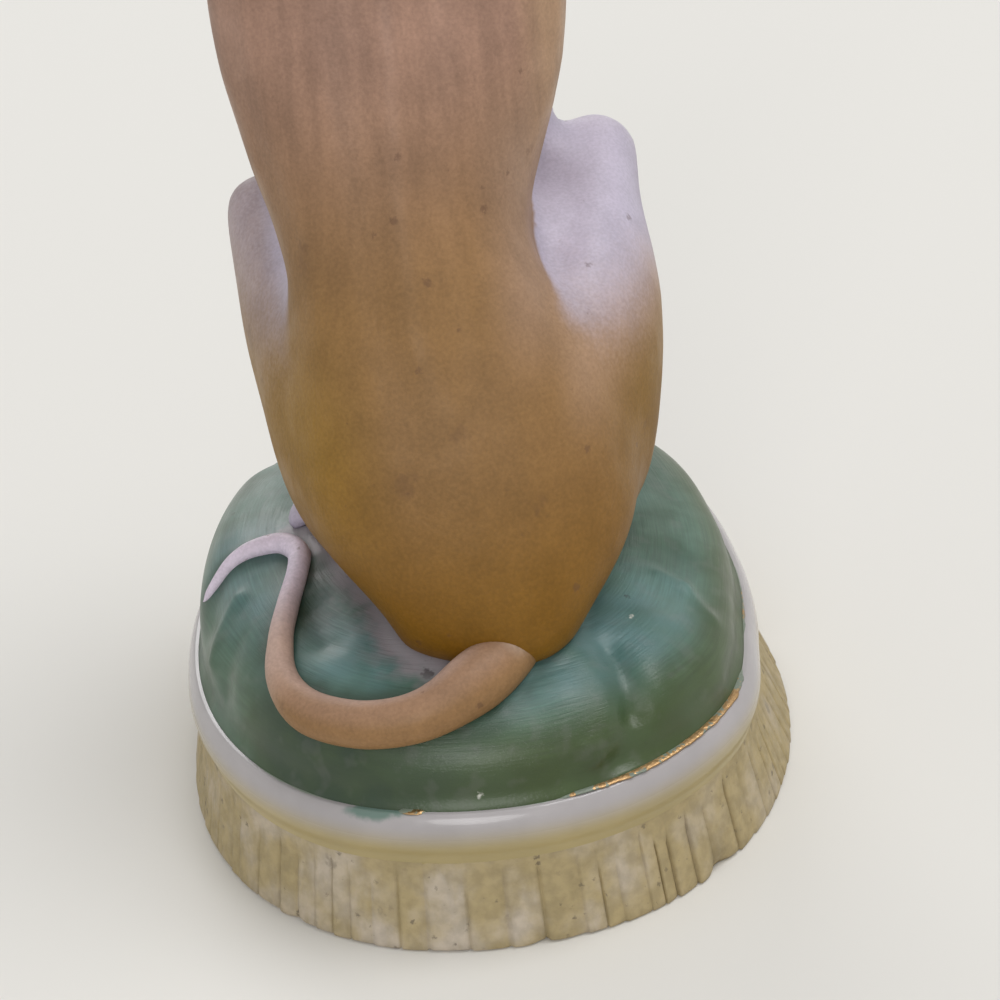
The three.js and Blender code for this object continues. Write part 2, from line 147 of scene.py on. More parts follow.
# Moulding of the haunches: centre, radius, move.
HAUNCH_PULLS = (
    ((19.5, 0.0, 39.0), 8.0, (-0.9, 0.0, 0.0)),
    ((18.0, 2.0, 30.0), 4.5, (-1.3, 0.0, 0.0)),
    ((15.0, 9.0, 35.0), 5.0, (0.6, 0.0, 0.0)),
    ((-21.8, -12.0, 52.0), 4.5, (0.9, 0.0, 0.0)),
    ((-11.9, -13.4, 58.4), 2.2, (0.0, 0.0, -1.5)),
    ((-15.5, -16.5, 58.0), 4.0, (0.0, 0.0, 0.9)),
    ((-16.5, 6.0, 31.0), 5.0, (-1.0, 0.5, -0.3)),
    ((-20.5, 0.0, 40.0), 6.0, (-0.5, 0.0, 0.0)),
    ((-13.5, 16.0, 30.5), 5.0, (-1.1, 0.2, 0.0)),
    ((-8.5, 21.5, 27.0), 5.0, (-0.4, 0.7, -0.8)),
    ((9.5, 19.3, 28.0), 5.0, (-0.4, 0.4, -0.8)),
    ((0.0, 22.0, 27.5), 6.0, (0.0, 0.8, -1.4)),
    ((-4.5, 23.0, 26.5), 3.5, (0.0, 1.2, -0.6)),
    ((18.5, -16.0, 55.0), 4.5, (0.8, 0.0, 1.0)),
    ((18.5, -9.0, 28.0), 5.5, (-2.6, 0.0, 0.0)),
    ((18.0, -19.0, 28.0), 5.0, (-1.8, 0.0, 0.0)),
    ((-16.5, -5.5, 27.5), 4.0, (0.8, -4.0, 0.0)),
    ((-16.2, 14.0, 33.6), 2.2, (-0.25, 0.0, 0.0)),
    ((-17.3, 10.0, 35.5), 2.5, (0.2, 0.0, 0.0)),
)

# The back's middle line, as heights above the table and places across.
SPINE_HEIGHTS = (26, 32, 39, 48, 55, 63, 70, 78, 85, 91, 95)
SPINE_ACROSS = (-0.6, -1.0, -0.2, 1.3, 2.3, 2.3, 1.8, 1.4, 1.0, 1.0, 0.9)

# Its ridge and the furrows beside it: place beside the line, height, width.
SPINE_FORM = ((0.0, 0.38, 1.5), (3.6, -0.16, 1.6))
BACK_FACING = (0.2, 0.6)
BACK = ((Z, 44, 56), (Z, 98, 92))

# Head axis, from the skull's centre to the nose's, and its modelling:
# along the axis, to the side, above it, the three radii and the height.
SKULL = (0.2, -10.0, 110.1)
NOSE = (0.0, -33.0, 102.5)
HEAD_TURN = 0.008
HEAD = ((Z, 98, 101), (Y, 0, -3))
EYE = (7.6, 5.6, 2.3)
EYE_RADII = (1.45, 1.6, 0.92)
HEAD_FORM = (
    ((7.6, 6.2, 2.3), (2.3, 2.4, 1.7), -0.8),
    (EYE, EYE_RADII, 0.95),
    ((6.6, 5.5, 4.3), (2.2, 1.6, 0.9), 0.45),
    ((3.5, 7.0, -2.5), (2.6, 2.0, 2.2), 0.35),
    ((9.8, 0.0, 5.5), (3.0, 2.5, 2.0), -0.5),
    ((5.0, 0.0, 7.0), (4.0, 0.9, 2.0), -0.3),
    ((25.8, 0.0, 0.8), (1.2, 1.7, 1.3), 0.4),
    ((22.6, 0.0, 2.5), (0.6, 2.5, 1.5), -0.2),
    ((26.6, 1.1, 0.9), (0.6, 0.45, 0.5), -0.5),
    ((20.0, 0.0, -4.0), (4.0, 3.0, 1.2), -0.35),
)

# Mouth: a groove that slopes back from the lips, in the same head axes.
MOUTH_DEPTH = 0.38
MOUTH_WIDTH = 0.34
MOUTH_HEIGHT = -1.2
MOUTH_SLOPE = 0.05
LIPS_ALONG = 25
MOUTH_CORNER = (12, 15)

# Toes: grooves a quarter of the foot's width apart, on the front of each foot.
TOE_DEPTH = 0.55
TOE_GROOVE = 0.34
TOE_SPACING = 0.25
TOE_MARGIN = 1.5
TOE_LENGTH = 9.0
TOE_START = 0.75
TOE_FULL = 0.3

# The coat's tan and the layers sprayed on it in this order, as colour, strength and fades: the pinkish back,
# the left flank, the right waist, the right of the back, the right flank and the ochre rump. The ochre on the
# left flank, the right flank and the rump is partly the coat's ochre and partly painted yellow reflected
# light.
TAN = (139, 105, 65)
COAT_LAYERS = (
    ((160, 126, 108), 1.0, ((Z, 54, 80),)),
    ((146, 110, 34), 1.0, ((X, 4, 14), (Z, 60, 40))),
    ((160, 130, 108), 0.8, ((X, -3, -9), (Z, 46, 56), (Z, 74, 64))),
    ((168, 135, 106), 1.0, ((X, -9, -13), (Z, 40, 49))),
    ((140, 105, 42), 1.0, ((X, -13, -19), (Z, 50, 40))),
    ((126, 87, 12), 1.0, ((Z, 48, 26),)),
)

# White of the knees, lower legs, chest and left heel.
THIGH_START = -3.0
THIGH_FULL = -1.6
THIGH_SPRAY = 7
SPRAY_HEIGHT = (55, 46)
KNEE_FORWARD = 0.5
KNEE_FRONT = -2
RIGHT_KNEE = (42, 59)
LEFT_KNEE = (37, 57)
# The left knee is painted only partly white: its tan tint is painted shade.
LEFT_KNEE_SHADED_SHARE = 0.5
LEFT_KNEE_INNER_SHARE = 0.35
LEFT_KNEE_INNER = (17, 14)
LEFT_KNEE_TOP = (50, 55)
LEFT_KNEE_FRONT = (-14, -22)
LOWER_LEG_EDGE = (-1.6, 1.4)
LOWER_LEG_TOP = (66, 52)
BLAZE_WIDTH = 8.5
BLAZE_NARROWING = 6.5
BLAZE_HEIGHT = (56, 94)
BLAZE_MIDDLE = 0.8
BLAZE_OUTSIDE = 2.5
BLAZE_INSIDE = 2
CHEST_FACING = (0.1, 0.6)
CHEST_TOP = (98, 84)
CHEST_GAP = (2.4, 0.8)
HEEL_WHITE = (17.3, -1.8, 26.7)
HEEL_WHITE_RADIUS = 2.2
HEEL_WHITE_EDGE = (0.25, 0.5)

# Dark paint of the eyes and the nose.
EYE_PAINT = 0.8
EYE_PAINT_EDGE = (0.35, 0.6)
NOSE_PAINT_ALONG = (23.0, 23.8)
NOSE_PAINT_LOW = (-1.2, -0.5)
DARK_BROWN = (46, 36, 33)

# The tail's line from under the rump to its tip: x, y, height above the cushion, radius.
TAIL_LINE = (
    (-4.6, 20.6, 0.8, 2.1),
    (-2.7, 24.3, 1.0, 2.6),
    (0.4, 27.2, 1.2, 2.9),
    (3.6, 29.1, 1.1, 2.5),
    (7.0, 29.7, 1.05, 2.3),
    (11.4, 28.8, 1.1, 2.2),
    (16.0, 25.8, 1.0, 2.05),
    (18.3, 21.8, 0.9, 1.55),
    (18.4, 17.4, 0.8, 1.22),
    (17.6, 12.4, 0.7, 1.1),
    (16.7, 8.0, 0.7, 1.05),
    (16.6, 4.6, 0.6, 1.15),
    (18.2, 2.4, 0.5, 1.1),
    (20.7, 2.3, 0.4, 0.95),
    (23.0, 2.7, 0.3, 0.75),
    (25.1, 3.0, 0.2, 0.55),
    (26.8, 3.1, 0.05, 0.35),
)
TAIL_STEPS = 14
TAIL_SIDES = 36
TAIL_ABOVE = 60.0
TAIL_LEVEL_SPAN = 13
TAIL_TIP = (0.96, 1.0)
TIP_ROUNDING = 0.96

# The tail's tan and the layers on it, in the same form: its top and its inner side, which are painted
# highlight, the pale and white parts towards the tip, whose white is painted brighter than the figure's white
# slip as painted light, and the worn root.
TAIL_TAN = (145, 110, 72)
TAIL_LAYERS = (
    ((151, 118, 92), 1.0, ((UP, 0.2, 0.9),)),
    ((184, 156, 142), 0.85, ((INWARD, -0.3, 0.4), (ALONG, 0.07, 0.15))),
    ((188, 160, 146), 1.0, ((ALONG, 0.38, 0.48),)),
    ((226, 213, 229), 1.0, ((ALONG, 0.48, 0.63),)),
    ((206, 192, 178), 0.85, ((ALONG, 0.09, 0.05), (UP, 0.2, 0.9))),
)

# Cushion. The rows of its underside are shares of the way out, and the last three lie flat on the rim.
CUSHION_ROWS = 110
CUSHION_COLUMNS = 360
CUSHION_CROWN = 10.5
CUSHION_FULLNESS = 3.0
CUSHION_TILT = 1.8
TILT_FADE = 8.0
CUSHION_WALL = 3.2
CUSHION_FOOT_INSET = 2.6
CUSHION_FOOT_LAP = 0.25
CROWN_SLOPE = 0.02
UNDERSIDE = np.array([0.02, 0.2, 0.4, 0.6, 0.74, 0.77, 0.9, 1.0])
FLAT_ROWS = 3
FOOT_SOFTENED = (3.0, 0.5)
FOOT_ROUNDS = 6

# Where the cushion rises to meet the dog.
FILLET = 0.35
FILLET_GAP = (1.6, 0)

# Soft folds and dimples of the cushion: two ends, width, height.
FOLDS = (
    ((22.0, -16.0, 22.0), (23.5, 1.0, 23.0), 5.0, 1.3),
    ((25.6, 11.5, 19.0), (22.6, 7.8, 23.4), 1.0, 0.5),
    ((24.6, 3.6, 22.3), (25.6, 6.2, 20.3), 2.2, -0.9),
    ((23.2, 13.6, 21.4), (24.6, 15.6, 18.2), 1.5, -0.45),
    ((15.2, 13.0, 24.9), (14.0, 18.0, 24.3), 2.2, -0.7),
    ((-12.0, 22.3, 22.3), (-13.7, 28.0, 19.2), 1.5, -0.8),
    ((-13.7, 28.0, 19.2), (-11.7, 30.4, 15.6), 1.6, -0.7),
    ((-9.2, 31.3, 16.6), (-9.4, 31.0, 18.0), 0.9, 0.3),
    ((-16.0, 24.0, 20.6), (-17.5, 18.5, 21.6), 2.6, 0.5),
    ((-7.2, 27.2, 21.6), (-9.0, 24.0, 22.6), 2.6, 0.4),
    ((-23.5, 12.6, 20.1), (-22.4, 6.5, 21.1), 2.2, -0.3),
    ((-19.0, 27.5, 16.0), (-23.0, 21.0, 16.0), 1.6, 0.3),
    ((-19.3, 9.9, 22.2), (-21.6, 11.2, 21.2), 0.9, 0.28),
    ((-21.6, 11.2, 21.2), (-23.2, 15.0, 19.8), 0.9, 0.28),
    ((15.6, 0.8, 25.5), (14.4, 5.0, 25.5), 1.3, 0.7),
)

# Enamel: it is brushed, yellower at the foot with painted yellow reflected light, dark beside the tail,
# rubbed off beside the dog's left haunch, grey in the tail's loop, and bluer behind and on the left, partly
# where it is thin and partly with painted sheen.
BRUSH_OUT = 40
BRUSH_ROUND = 6
FOOT_REFLECTION_REACH = (0.84, 0.99)
FOOT_REFLECTION_SHARE = 0.85
FOOT_REFLECTION_LEFT_LOSS = 0.45
FOOT_REFLECTION_LEFT = (18, 25)
DARK_BESIDE_TAIL_GAP = (2.4, 0.2)
BARE = ((X, 1, 4), (Y, -4, 2))
RUBBED = ((0.6, 3.2, 0.4), (0.35, 4.8, 1.5))
LOOP_HOLLOW = (14.9, 11.5, 24.8)
LOOP_RADII = (2.2, 4.5, 3.0)
THIN_AND_SHEEN_REAR = ((Y, 2, 16), (REACH, 0.97, 0.82))
THIN_AND_SHEEN_LEFT = ((X, 13, 20), (Y, -8, 2), (REACH, 0.99, 0.9))

# Rim: a cove below a rolled edge. The top's waves are given as height, number and turn.
RIM_COLUMNS = 480
RIM_STEPS = 16
RIM_BULGE = 0.8
RIM_SETBACK = 0.5
RIM_LAP = 0.15
RIM_FOOT_DEPTH = 0.3
RIM_FOOT_INSET = 0.02
RIM_PROUD = 0.03
RIM_SHELF = 4.0
RIM_WAVES = ((0.06, 5, 1), (0.05, 9, 2.4))
WAVY_INSET = 3
# How high on the rim the painted yellow reflected light gives way to the white.
RIM_WHITE_RISE = (0.3, 0.84)

# Where the green has run over the rim's top.
GREEN_SMEAR = (10.4, 32.1, 14.6)
SMEAR_RADII = (4.8, 1.1, 0.8)

# Gilding left on the rim: where along it, how long, and how much.
GILT_LEFT = (
    ((7.5, 32.7), 1.2, 0.55),
    ((-8.5, 32.8), 3.0, 0.3),
    ((-14.0, 30.6), 4.0, 0.6),
    ((-19.5, 26.1), 4.5, 0.55),
    ((-23.6, 20.4), 4.5, 0.5),
    ((-27.6, 6.6), 5.0, 0.2),
    ((25.0, -17.0), 8.0, 0.45),
    ((4.0, -33.0), 9.0, 0.3),
    ((-22.0, -22.0), 7.0, 0.5),
)
GILT_MOST = 0.75
GILT_COLUMNS = 900
GILT_SIDES = 10
GILT_INSET = 0.3
GILT_HALF_WIDTH = 0.26
GILT_WIDENING = 0.36
GILT_WIDE_FROM = (0.1, 0.6)
GILT_RAGGEDNESS = 0.12
GILT_RAGGED_SPAN = 5
GILT_THICKNESS = 0.14
GILT_LIFT = 0.26
GILT_LIFT_FROM = (0.05, 0.35)

# Fringe: pleats of uneven width. Steps go across one pleat, and rises from the foot to the top.
PLEATS = 76
PLEAT_STEPS = np.array([0, 0.05, 0.1, 0.18, 0.3, 0.44, 0.58, 0.72, 0.84, 0.94])
PLEAT_UNEVENNESS = 0.45
FRINGE_RISES = (0.0, 0.012, 0.04, 0.09, 0.16, 0.25, 0.34, 0.43, 0.5, 0.56, 0.62, 0.68, 0.74, 0.82, 0.91, 1.0)
FOOT_ROUNDING = (0.5, 0.2, 0.05) + (0.0,) * 13
FRINGE_INNER_INSET = 3.2
FRINGE_TOP_INSET = 0.6
FLARE_POWER = 0.9
FLUTE_POWER = 1.5
NECK_FROM = 0.55
NECK_DEPTH = 0.12

# Least and greatest of what is drawn for each pleat, in this order: the depth of its step and crease, whether
# it is creased, the flute's top and how softly it ends, the lift of its foot, its band of painted shade, and
# its tone, which is partly the pleat's own colour and partly painted light and shade.
CREASE_MOST = 0.3
PLEAT_DRAWS = (
    (0.15, 0.6),
    (0.0, CREASE_MOST),
    (0, 1),
    (0.64, 0.88),
    (0.08, 0.24),
    (-0.2, 0.2),
    (0, 0.5),
    (0.08, 0.47),
)
CREASED_SHARE = 0.45
PLAIN_TONE = 0.25
GROOVE_EDGE = (0.09, 0.0)
LEAD_EDGE = (0.0, 0.1)
SHADE_BAND_EDGE = (0.34, 0.0)

# The flutes are worn on the dog's right and on its left, but not in front.
WORN = ((0.6, -18, -27), (0.55, -6, 4))
WORN_REAR = (-14, 0)
CREASE_SHADE = 0.6
GROOVE_SHADE = 0.4

# The fringe is paler behind and darker on the right: painted light and shade.
LIT_REAR = 0.2
PALE_MIDDLE = 6
PALE_WIDTH = 14
SHADED_RIGHT = 0.2
SHADED_RIGHT_FROM = (-8, -20)

# Chips in the fringe's foot: place, length, depth.
CHIPS = (
    ((-20.4, 27.8), 1.3, 0.9),
    ((-3.0, 36.3), 0.9, 0.35),
    ((20.0, 28.5), 0.8, 0.3),
    ((9.0, -35.0), 1.0, 0.5),
)
CHIP_TOP = (0.2, 0.0)
CHIP_LIFT = 0.3
# The fringe is darker round each chip.
CHIP_DARKENING = 0.8
CHIP_DARKENING_TOP = (0.45, 0.1)

# Most of a noise texture's values lie in this range.
NOISE_SPAN = (0.3, 0.7)

# Raggedness of specks, by their size, and the share of it that is their soft edge.
SPECK_NOISE = 1.6
SPECK_SHIFT = 1.8
SPECK_EDGE = 0.5

# Colours of the bisque's white slip, in front and behind, and of its dirt. The white behind is lilac, partly
# with painted bluish skylight.
FRONT_WHITE = (190, 184, 188)
REAR_WHITE_WITH_SKYLIGHT = (189, 181, 198)
SMUDGE_BROWN = (92, 64, 46)
DOT_BROWN = (88, 60, 48)

# Least and greatest brightness of the bisque's mottling.
MOTTLE = (0.92, 1.07)

# Colours of the enamel.
DARK_GREEN = (44, 78, 58)
PALE_GREEN = (82, 116, 102)
THIN_AND_SHEEN_GREEN = (90, 128, 134)
FOOT_REFLECTED_GREEN = (56, 70, 22)
LOOP_GREY = (92, 96, 102)
DARK_BESIDE_TAIL_GREEN = (34, 58, 42)
BARE_CLAY = (152, 143, 150)
GRIME = (62, 54, 58)
BLACK_SPECK = (36, 40, 38)
WHITE_CHIP = (200, 200, 190)

# Colours of the glaze. Its lower part is yellower, partly its own cream and partly painted yellow reflected
# light.
YELLOW_REFLECTED_GLAZE = (171, 154, 106)
CLEAN_GLAZE = (171, 166, 167)
SMEARED_GREEN = (84, 118, 106)
GLAZE_SPECK = (84, 70, 56)

# Colours of the cream bisque.
DARK_CREAM = (170, 153, 114)
PALE_CREAM = (190, 178, 162)
STAINED_CREAM = (160, 144, 106)
GROOVE_DIRT_AND_SHADE = (118, 104, 76)
DUST = (78, 70, 62)
SMUDGE_GREY = (98, 90, 80)

# Colours of the gilding and of the glaze where it is gone.
DULL_GOLD = (134, 98, 62)
BRIGHT_GOLD = (206, 174, 130)
UNDER_GOLD = (120, 130, 116)


def node_box(name):
    """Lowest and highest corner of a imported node, in millimetres."""
    low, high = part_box(name)
    return np.array(low) / MM, np.array(high) / MM


def smoothstep(value, low, high):
    """0 at low and 1 at high, smooth between them; it falls where low is the greater."""
    t = np.clip((value - low) / (high - low), 0, 1)
    return t * t * (3 - 2 * t)


def faded(places, fades):
    """Product of fades, each over a range of one column of the places."""
    share = np.ones(len(places))
    for column, low, high in fades:
        share = share * smoothstep(places[:, column], low, high)
    return share


def bell(distance, width):
    """1 at no distance, fading over the width."""
    return np.exp(-((distance / width) ** 2))


def near_to(points, centre, radii):
    """A soft weight of 1 at the centre that fades over the radii."""
    return np.exp(-0.5 * (((points - np.array(centre)) / np.array(radii)) ** 2).sum(1))


def round_angles(count):
    return np.linspace(0, FULL_TURN, count, endpoint=False)


def oval(half_width, half_length, angle):
    """Points of the base's oval at these angles."""
    c, s = np.cos(angle), np.sin(angle)
    x = half_width * np.sign(c) * np.abs(c) ** (2 / OVAL_POWER)
    y = half_length * np.sign(s) * np.abs(s) ** (2 / OVAL_POWER)
    return x, y


def base_ring(foot, inset, angle, height):
    """Points round the base, this far in from its foot's half width and length."""
    x, y = oval(foot[0] - inset, foot[1] - inset, angle)
    return np.stack([x, y, np.broadcast_to(height, x.shape)], 1)


def tapered(points):
    """The base's points, drawn in on the dog's right; the foot stays where it is."""
    share = np.clip(points[:, Z] / node_box("base_fringe")[1][2], 0, 1)
    moved = points.copy()
    moved[:, X] += RIGHT_TAPER * faded(points, TAPER) * share
    return moved


def ring_faces(rows, columns, closed):
    """Quads of a grid whose rows run round; a closed grid joins its last row to its first."""
    count = rows if closed else rows - 1
    r, c = np.meshgrid(np.arange(count), np.arange(columns), indexing="ij")
    r, c = r.ravel(), c.ravel()
    r2, c2 = (r + 1) % rows, (c + 1) % columns
    quads = np.stack([r * columns + c, r * columns + c2, r2 * columns + c2, r2 * columns + c], 1)
    return [tuple(quad) for quad in quads]


def make_mesh(name, points, faces):
    mesh = bpy.data.meshes.new(name)
    mesh.from_pydata(np.asarray(points).tolist(), [], [list(f) for f in faces])
    mesh.update()
    return mesh


def make_piece(name, points, faces, material, nodes, fields):
    """A shown piece, from millimetre points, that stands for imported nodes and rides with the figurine."""
    mesh = make_mesh(name, np.asarray(points) * MM, faces)
    mesh.shade_smooth()
    for title, values in fields.items():
        values = np.asarray(values, np.float32)
        if values.ndim == 1:
            mesh.attributes.new(title, "FLOAT", "POINT").data.foreach_set("value", values)
        else:
            mesh.attributes.new(title, "FLOAT_VECTOR", "POINT").data.foreach_set("vector", values.ravel())
    mesh.materials.append(material)
    piece = bpy.data.objects.new(name, mesh)
    bpy.context.scene.collection.objects.link(piece)
    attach(piece, "root")
    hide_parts(*nodes)
    return piece


def surface_tree(piece):
    """A piece's surface, for rays and distances, in metres."""
    mesh = piece.data
    return BVHTree.FromPolygons([v.co for v in mesh.vertices], [p.vertices for p in mesh.polygons])


def triangles_of(faces):
    """Each face as triangles, for normals."""
    return np.array([(f[0], f[i], f[i + 1]) for f in faces for i in range(1, len(f) - 1)])


def vertex_normals(points, triangles):
    corners = points[triangles]
    across = np.cross(corners[:, 1] - corners[:, 0], corners[:, 2] - corners[:, 0])
    normals = np.zeros_like(points)
    for k in range(3):
        for axis in range(3):
            normals[:, axis] += np.bincount(triangles[:, k], across[:, axis], len(points))
    return normals / np.maximum(np.linalg.norm(normals, axis=1, keepdims=True), 1e-12)


def raised(points, height, normals):
    return points + height[:, None] * normals


def neighbours_mean(points, edges):
    count = np.bincount(edges.ravel(), minlength=len(points))
    total = np.empty_like(points)
    for axis in range(3):
        total[:, axis] = np.bincount(edges[:, 0], points[edges[:, 1], axis], len(points))
        total[:, axis] += np.bincount(edges[:, 1], points[edges[:, 0], axis], len(points))
    return total / count[:, None]


def relax(points, edges, weight, rounds):
    """Moves each point towards the mean of its neighbours, by its own weight."""
    for _ in range(rounds):
        points = points + weight[:, None] * (neighbours_mean(points, edges) - points)
    return points


def fill_hollows(points, edges, triangles, mask, rounds):
    """Raises the hollows of the masked skin to the mean of their neighbours, and leaves what stands proud."""
    for step in range(rounds):
        if step % NORMALS_EVERY == 0:
            normals = vertex_normals(points, triangles)
        rise = ((neighbours_mean(points, edges) - points) * normals).sum(1)
        points = raised(points, mask * np.maximum(rise, 0), normals)
    return points


def pulled(points, pulls):
    """Moves the skin round each centre by its vector."""
    for centre, radius, move in pulls:
        points = points + near_to(points, centre, radius)[:, None] * np.array(move)
    return points


def swollen_copy(name, amount):
    """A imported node's closed mesh in millimetres, grown outwards."""
    shape = bmesh.new()
    shape.from_mesh(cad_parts[name].data)
    bmesh.ops.scale(shape, vec=Vector((1 / MM,) * 3), verts=shape.verts)
    bmesh.ops.remove_doubles(shape, verts=shape.verts, dist=0.001)
    shape.normal_update()
    moves = [v.normal * amount for v in shape.verts]
    for vertex, move in zip(shape.verts, moves):
        vertex.co += move
    return shape


def merged_mesh(names, amount, voxel, lumps):
    """The nodes, and lumps given by centre and radii, as one seamless skin."""
    joined = bmesh.new()
    for centre, radii in lumps:
        place = Matrix.Translation(centre) @ Matrix.Diagonal((*radii, 1.0))
        bmesh.ops.create_icosphere(joined, subdivisions=LUMP_DETAIL, radius=1.0, matrix=place)
    for name in names:
        shape = swollen_copy(name, amount)
        copy = bpy.data.meshes.new("copy")
        shape.to_mesh(copy)
        shape.free()
        joined.from_mesh(copy)
        bpy.data.meshes.remove(copy)
    mesh = bpy.data.meshes.new("joined")
    joined.to_mesh(mesh)
    joined.free()
    carrier = bpy.data.objects.new("carrier", mesh)
    bpy.context.scene.collection.objects.link(carrier)
    remesh = carrier.modifiers.new("skin", "REMESH")
    remesh.mode = "VOXEL"
    remesh.voxel_size = voxel
    result = bpy.data.meshes.new_from_object(carrier.evaluated_get(bpy.context.evaluated_depsgraph_get()))
    bpy.data.objects.remove(carrier)
    bpy.data.meshes.remove(mesh)
    return result


def mesh_arrays(mesh):
    """Points, edges and faces of a mesh, which is then removed."""
    points = np.empty(len(mesh.vertices) * 3)
    mesh.vertices.foreach_get("co", points)
    edges = np.empty(len(mesh.edges) * 2, int)
    mesh.edges.foreach_get("vertices", edges)
    faces = [tuple(p.vertices) for p in mesh.polygons]
    bpy.data.meshes.remove(mesh)
    return points.reshape(-1, 3), edges.reshape(-1, 2), faces


def refined(points, faces, chosen):
    """Splits the chosen faces in four."""
    mesh = make_mesh("coarse", points, faces)
    shape = bmesh.new()
    shape.from_mesh(mesh)
    bpy.data.meshes.remove(mesh)
    shape.faces.ensure_lookup_table()
    lines = {line for k in np.flatnonzero(chosen) for line in shape.faces[k].edges}
    lines = sorted(lines, key=lambda line: line.index)
    bmesh.ops.subdivide_edges(shape, edges=lines, cuts=1, use_grid_fill=True)
    mesh = bpy.data.meshes.new("fine")
    shape.to_mesh(mesh)
    shape.free()
    return mesh_arrays(mesh)


# Shader nodes.


def add(kind, inputs, tree=None, **settings):
    """A node in this tree, or else in the tree of its first input."""
    if tree is None:
        tree = next(iter(inputs.values())).id_data
    node = tree.nodes.new(kind)
    for key, value in settings.items():
        setattr(node, key, value)
    for key, value in inputs.items():
        if isinstance(value, bpy.types.NodeSocket):
            link(node, key, value)
        else:
            node.inputs[key].default_value = value
    return node


def link(node, socket, value):
    node.id_data.links.new(value, node.inputs[socket])


def new_shader(name, roughness, **sockets):
    material = bpy.data.materials.new(name)
    material.use_nodes = True
    tree = material.node_tree
    surface = tree.nodes["Principled BSDF"]
    surface.inputs["Roughness"].default_value = roughness
    for socket, value in sockets.items():
        surface.inputs[socket.replace("_", " ")].default_value = value
    return material, tree, surface


def linear(colour):
    """A display colour of 0 to 255 as linear values."""
    values = [c / 255 for c in colour]
    return tuple(c / 12.92 if c <= 0.04045 else ((c + 0.055) / 1.055) ** 2.4 for c in values) + (1.0,)


def scaled(vector, factor):
    return add("ShaderNodeVectorMath", {0: vector, "Scale": factor}, operation="SCALE").outputs[0]


def in_mm(tree):
    """Object coordinates in millimetres."""
    place = add("ShaderNodeTexCoord", {}, tree)
    return scaled(place.outputs["Object"], 1 / MM)


def stretched(vector, factors):
    return add("ShaderNodeVectorMath", {0: vector, 1: factors}, operation="MULTIPLY").outputs[0]


def field(tree, name, output="Fac"):
    """Values that the piece's points carry."""
    return add("ShaderNodeAttribute", {}, tree, attribute_name=name).outputs[output]


def noise(vector, scale, detail):
    inputs = {"Vector": vector, "Scale": scale, "Detail": detail}
    return add("ShaderNodeTexNoise", inputs).outputs["Fac"]


def ramp(value, span, to=(0.0, 1.0)):
    inputs = {"Value": value, 1: span[0], 2: span[1], 3: to[0], 4: to[1]}
    return add("ShaderNodeMapRange", inputs, interpolation_type="SMOOTHSTEP").outputs[0]


def cloudy(vector, scale, detail, to, span=NOISE_SPAN):
    """Noise whose values in the span are spread over a new range."""
    return ramp(noise(vector, scale, detail), span, to)


def math_node(operation, first, second):
    return add("ShaderNodeMath", {0: first, 1: second}, operation=operation).outputs[0]


def times(first, second):
    return math_node("MULTIPLY", first, second)


def plus(first, second):
    return math_node("ADD", first, second)


def mixed(factor, first, second):
    inputs = {0: factor, 6: first, 7: second}
    return add("ShaderNodeMix", inputs, data_type="RGBA").outputs[2]


def tinted(factor, colour, display):
    """A colour covered by this factor with a display colour."""
    return mixed(factor, colour, linear(display))


def shaded(colour, *factors):
    """A colour made lighter or darker by factors about 1."""
    for factor in factors:
        colour = scaled(colour, factor)
    return colour


def specks(vector, spacing, size, share):
    """Ragged dots of about this size, in this share of the cells, which are a spacing apart."""
    inputs = {"Vector": vector, "Scale": SPECK_NOISE / size, "Detail": 3.0}
    wander = add("ShaderNodeTexNoise", inputs).outputs["Color"]
    shift = scaled(wander, SPECK_SHIFT * size)
    vector = add("ShaderNodeVectorMath", {0: vector, 1: shift}, operation="ADD").outputs[0]
    cells = add("ShaderNodeTexVoronoi", {"Vector": vector, "Scale": 1 / spacing})
    chance = add("ShaderNodeSeparateColor", {0: cells.outputs["Color"]})
    radius = times(chance.outputs[1], size / spacing)
    inside = math_node("SUBTRACT", radius, cells.outputs["Distance"])
    dot = ramp(inside, (0.0, SPECK_EDGE * size / spacing))
    kept = math_node("LESS_THAN", chance.outputs[0], share)
    return times(dot, kept)


def bump(surface, height, depth, after=None, socket="Normal"):
    """Relief of this depth in millimetres on the surface."""
    inputs = {"Height": height, "Distance": depth * MM, "Strength": 1.0}
    if after is not None:
        inputs["Normal"] = after
    relief = add("ShaderNodeBump", inputs).outputs[0]
    link(surface, socket, relief)
    return relief


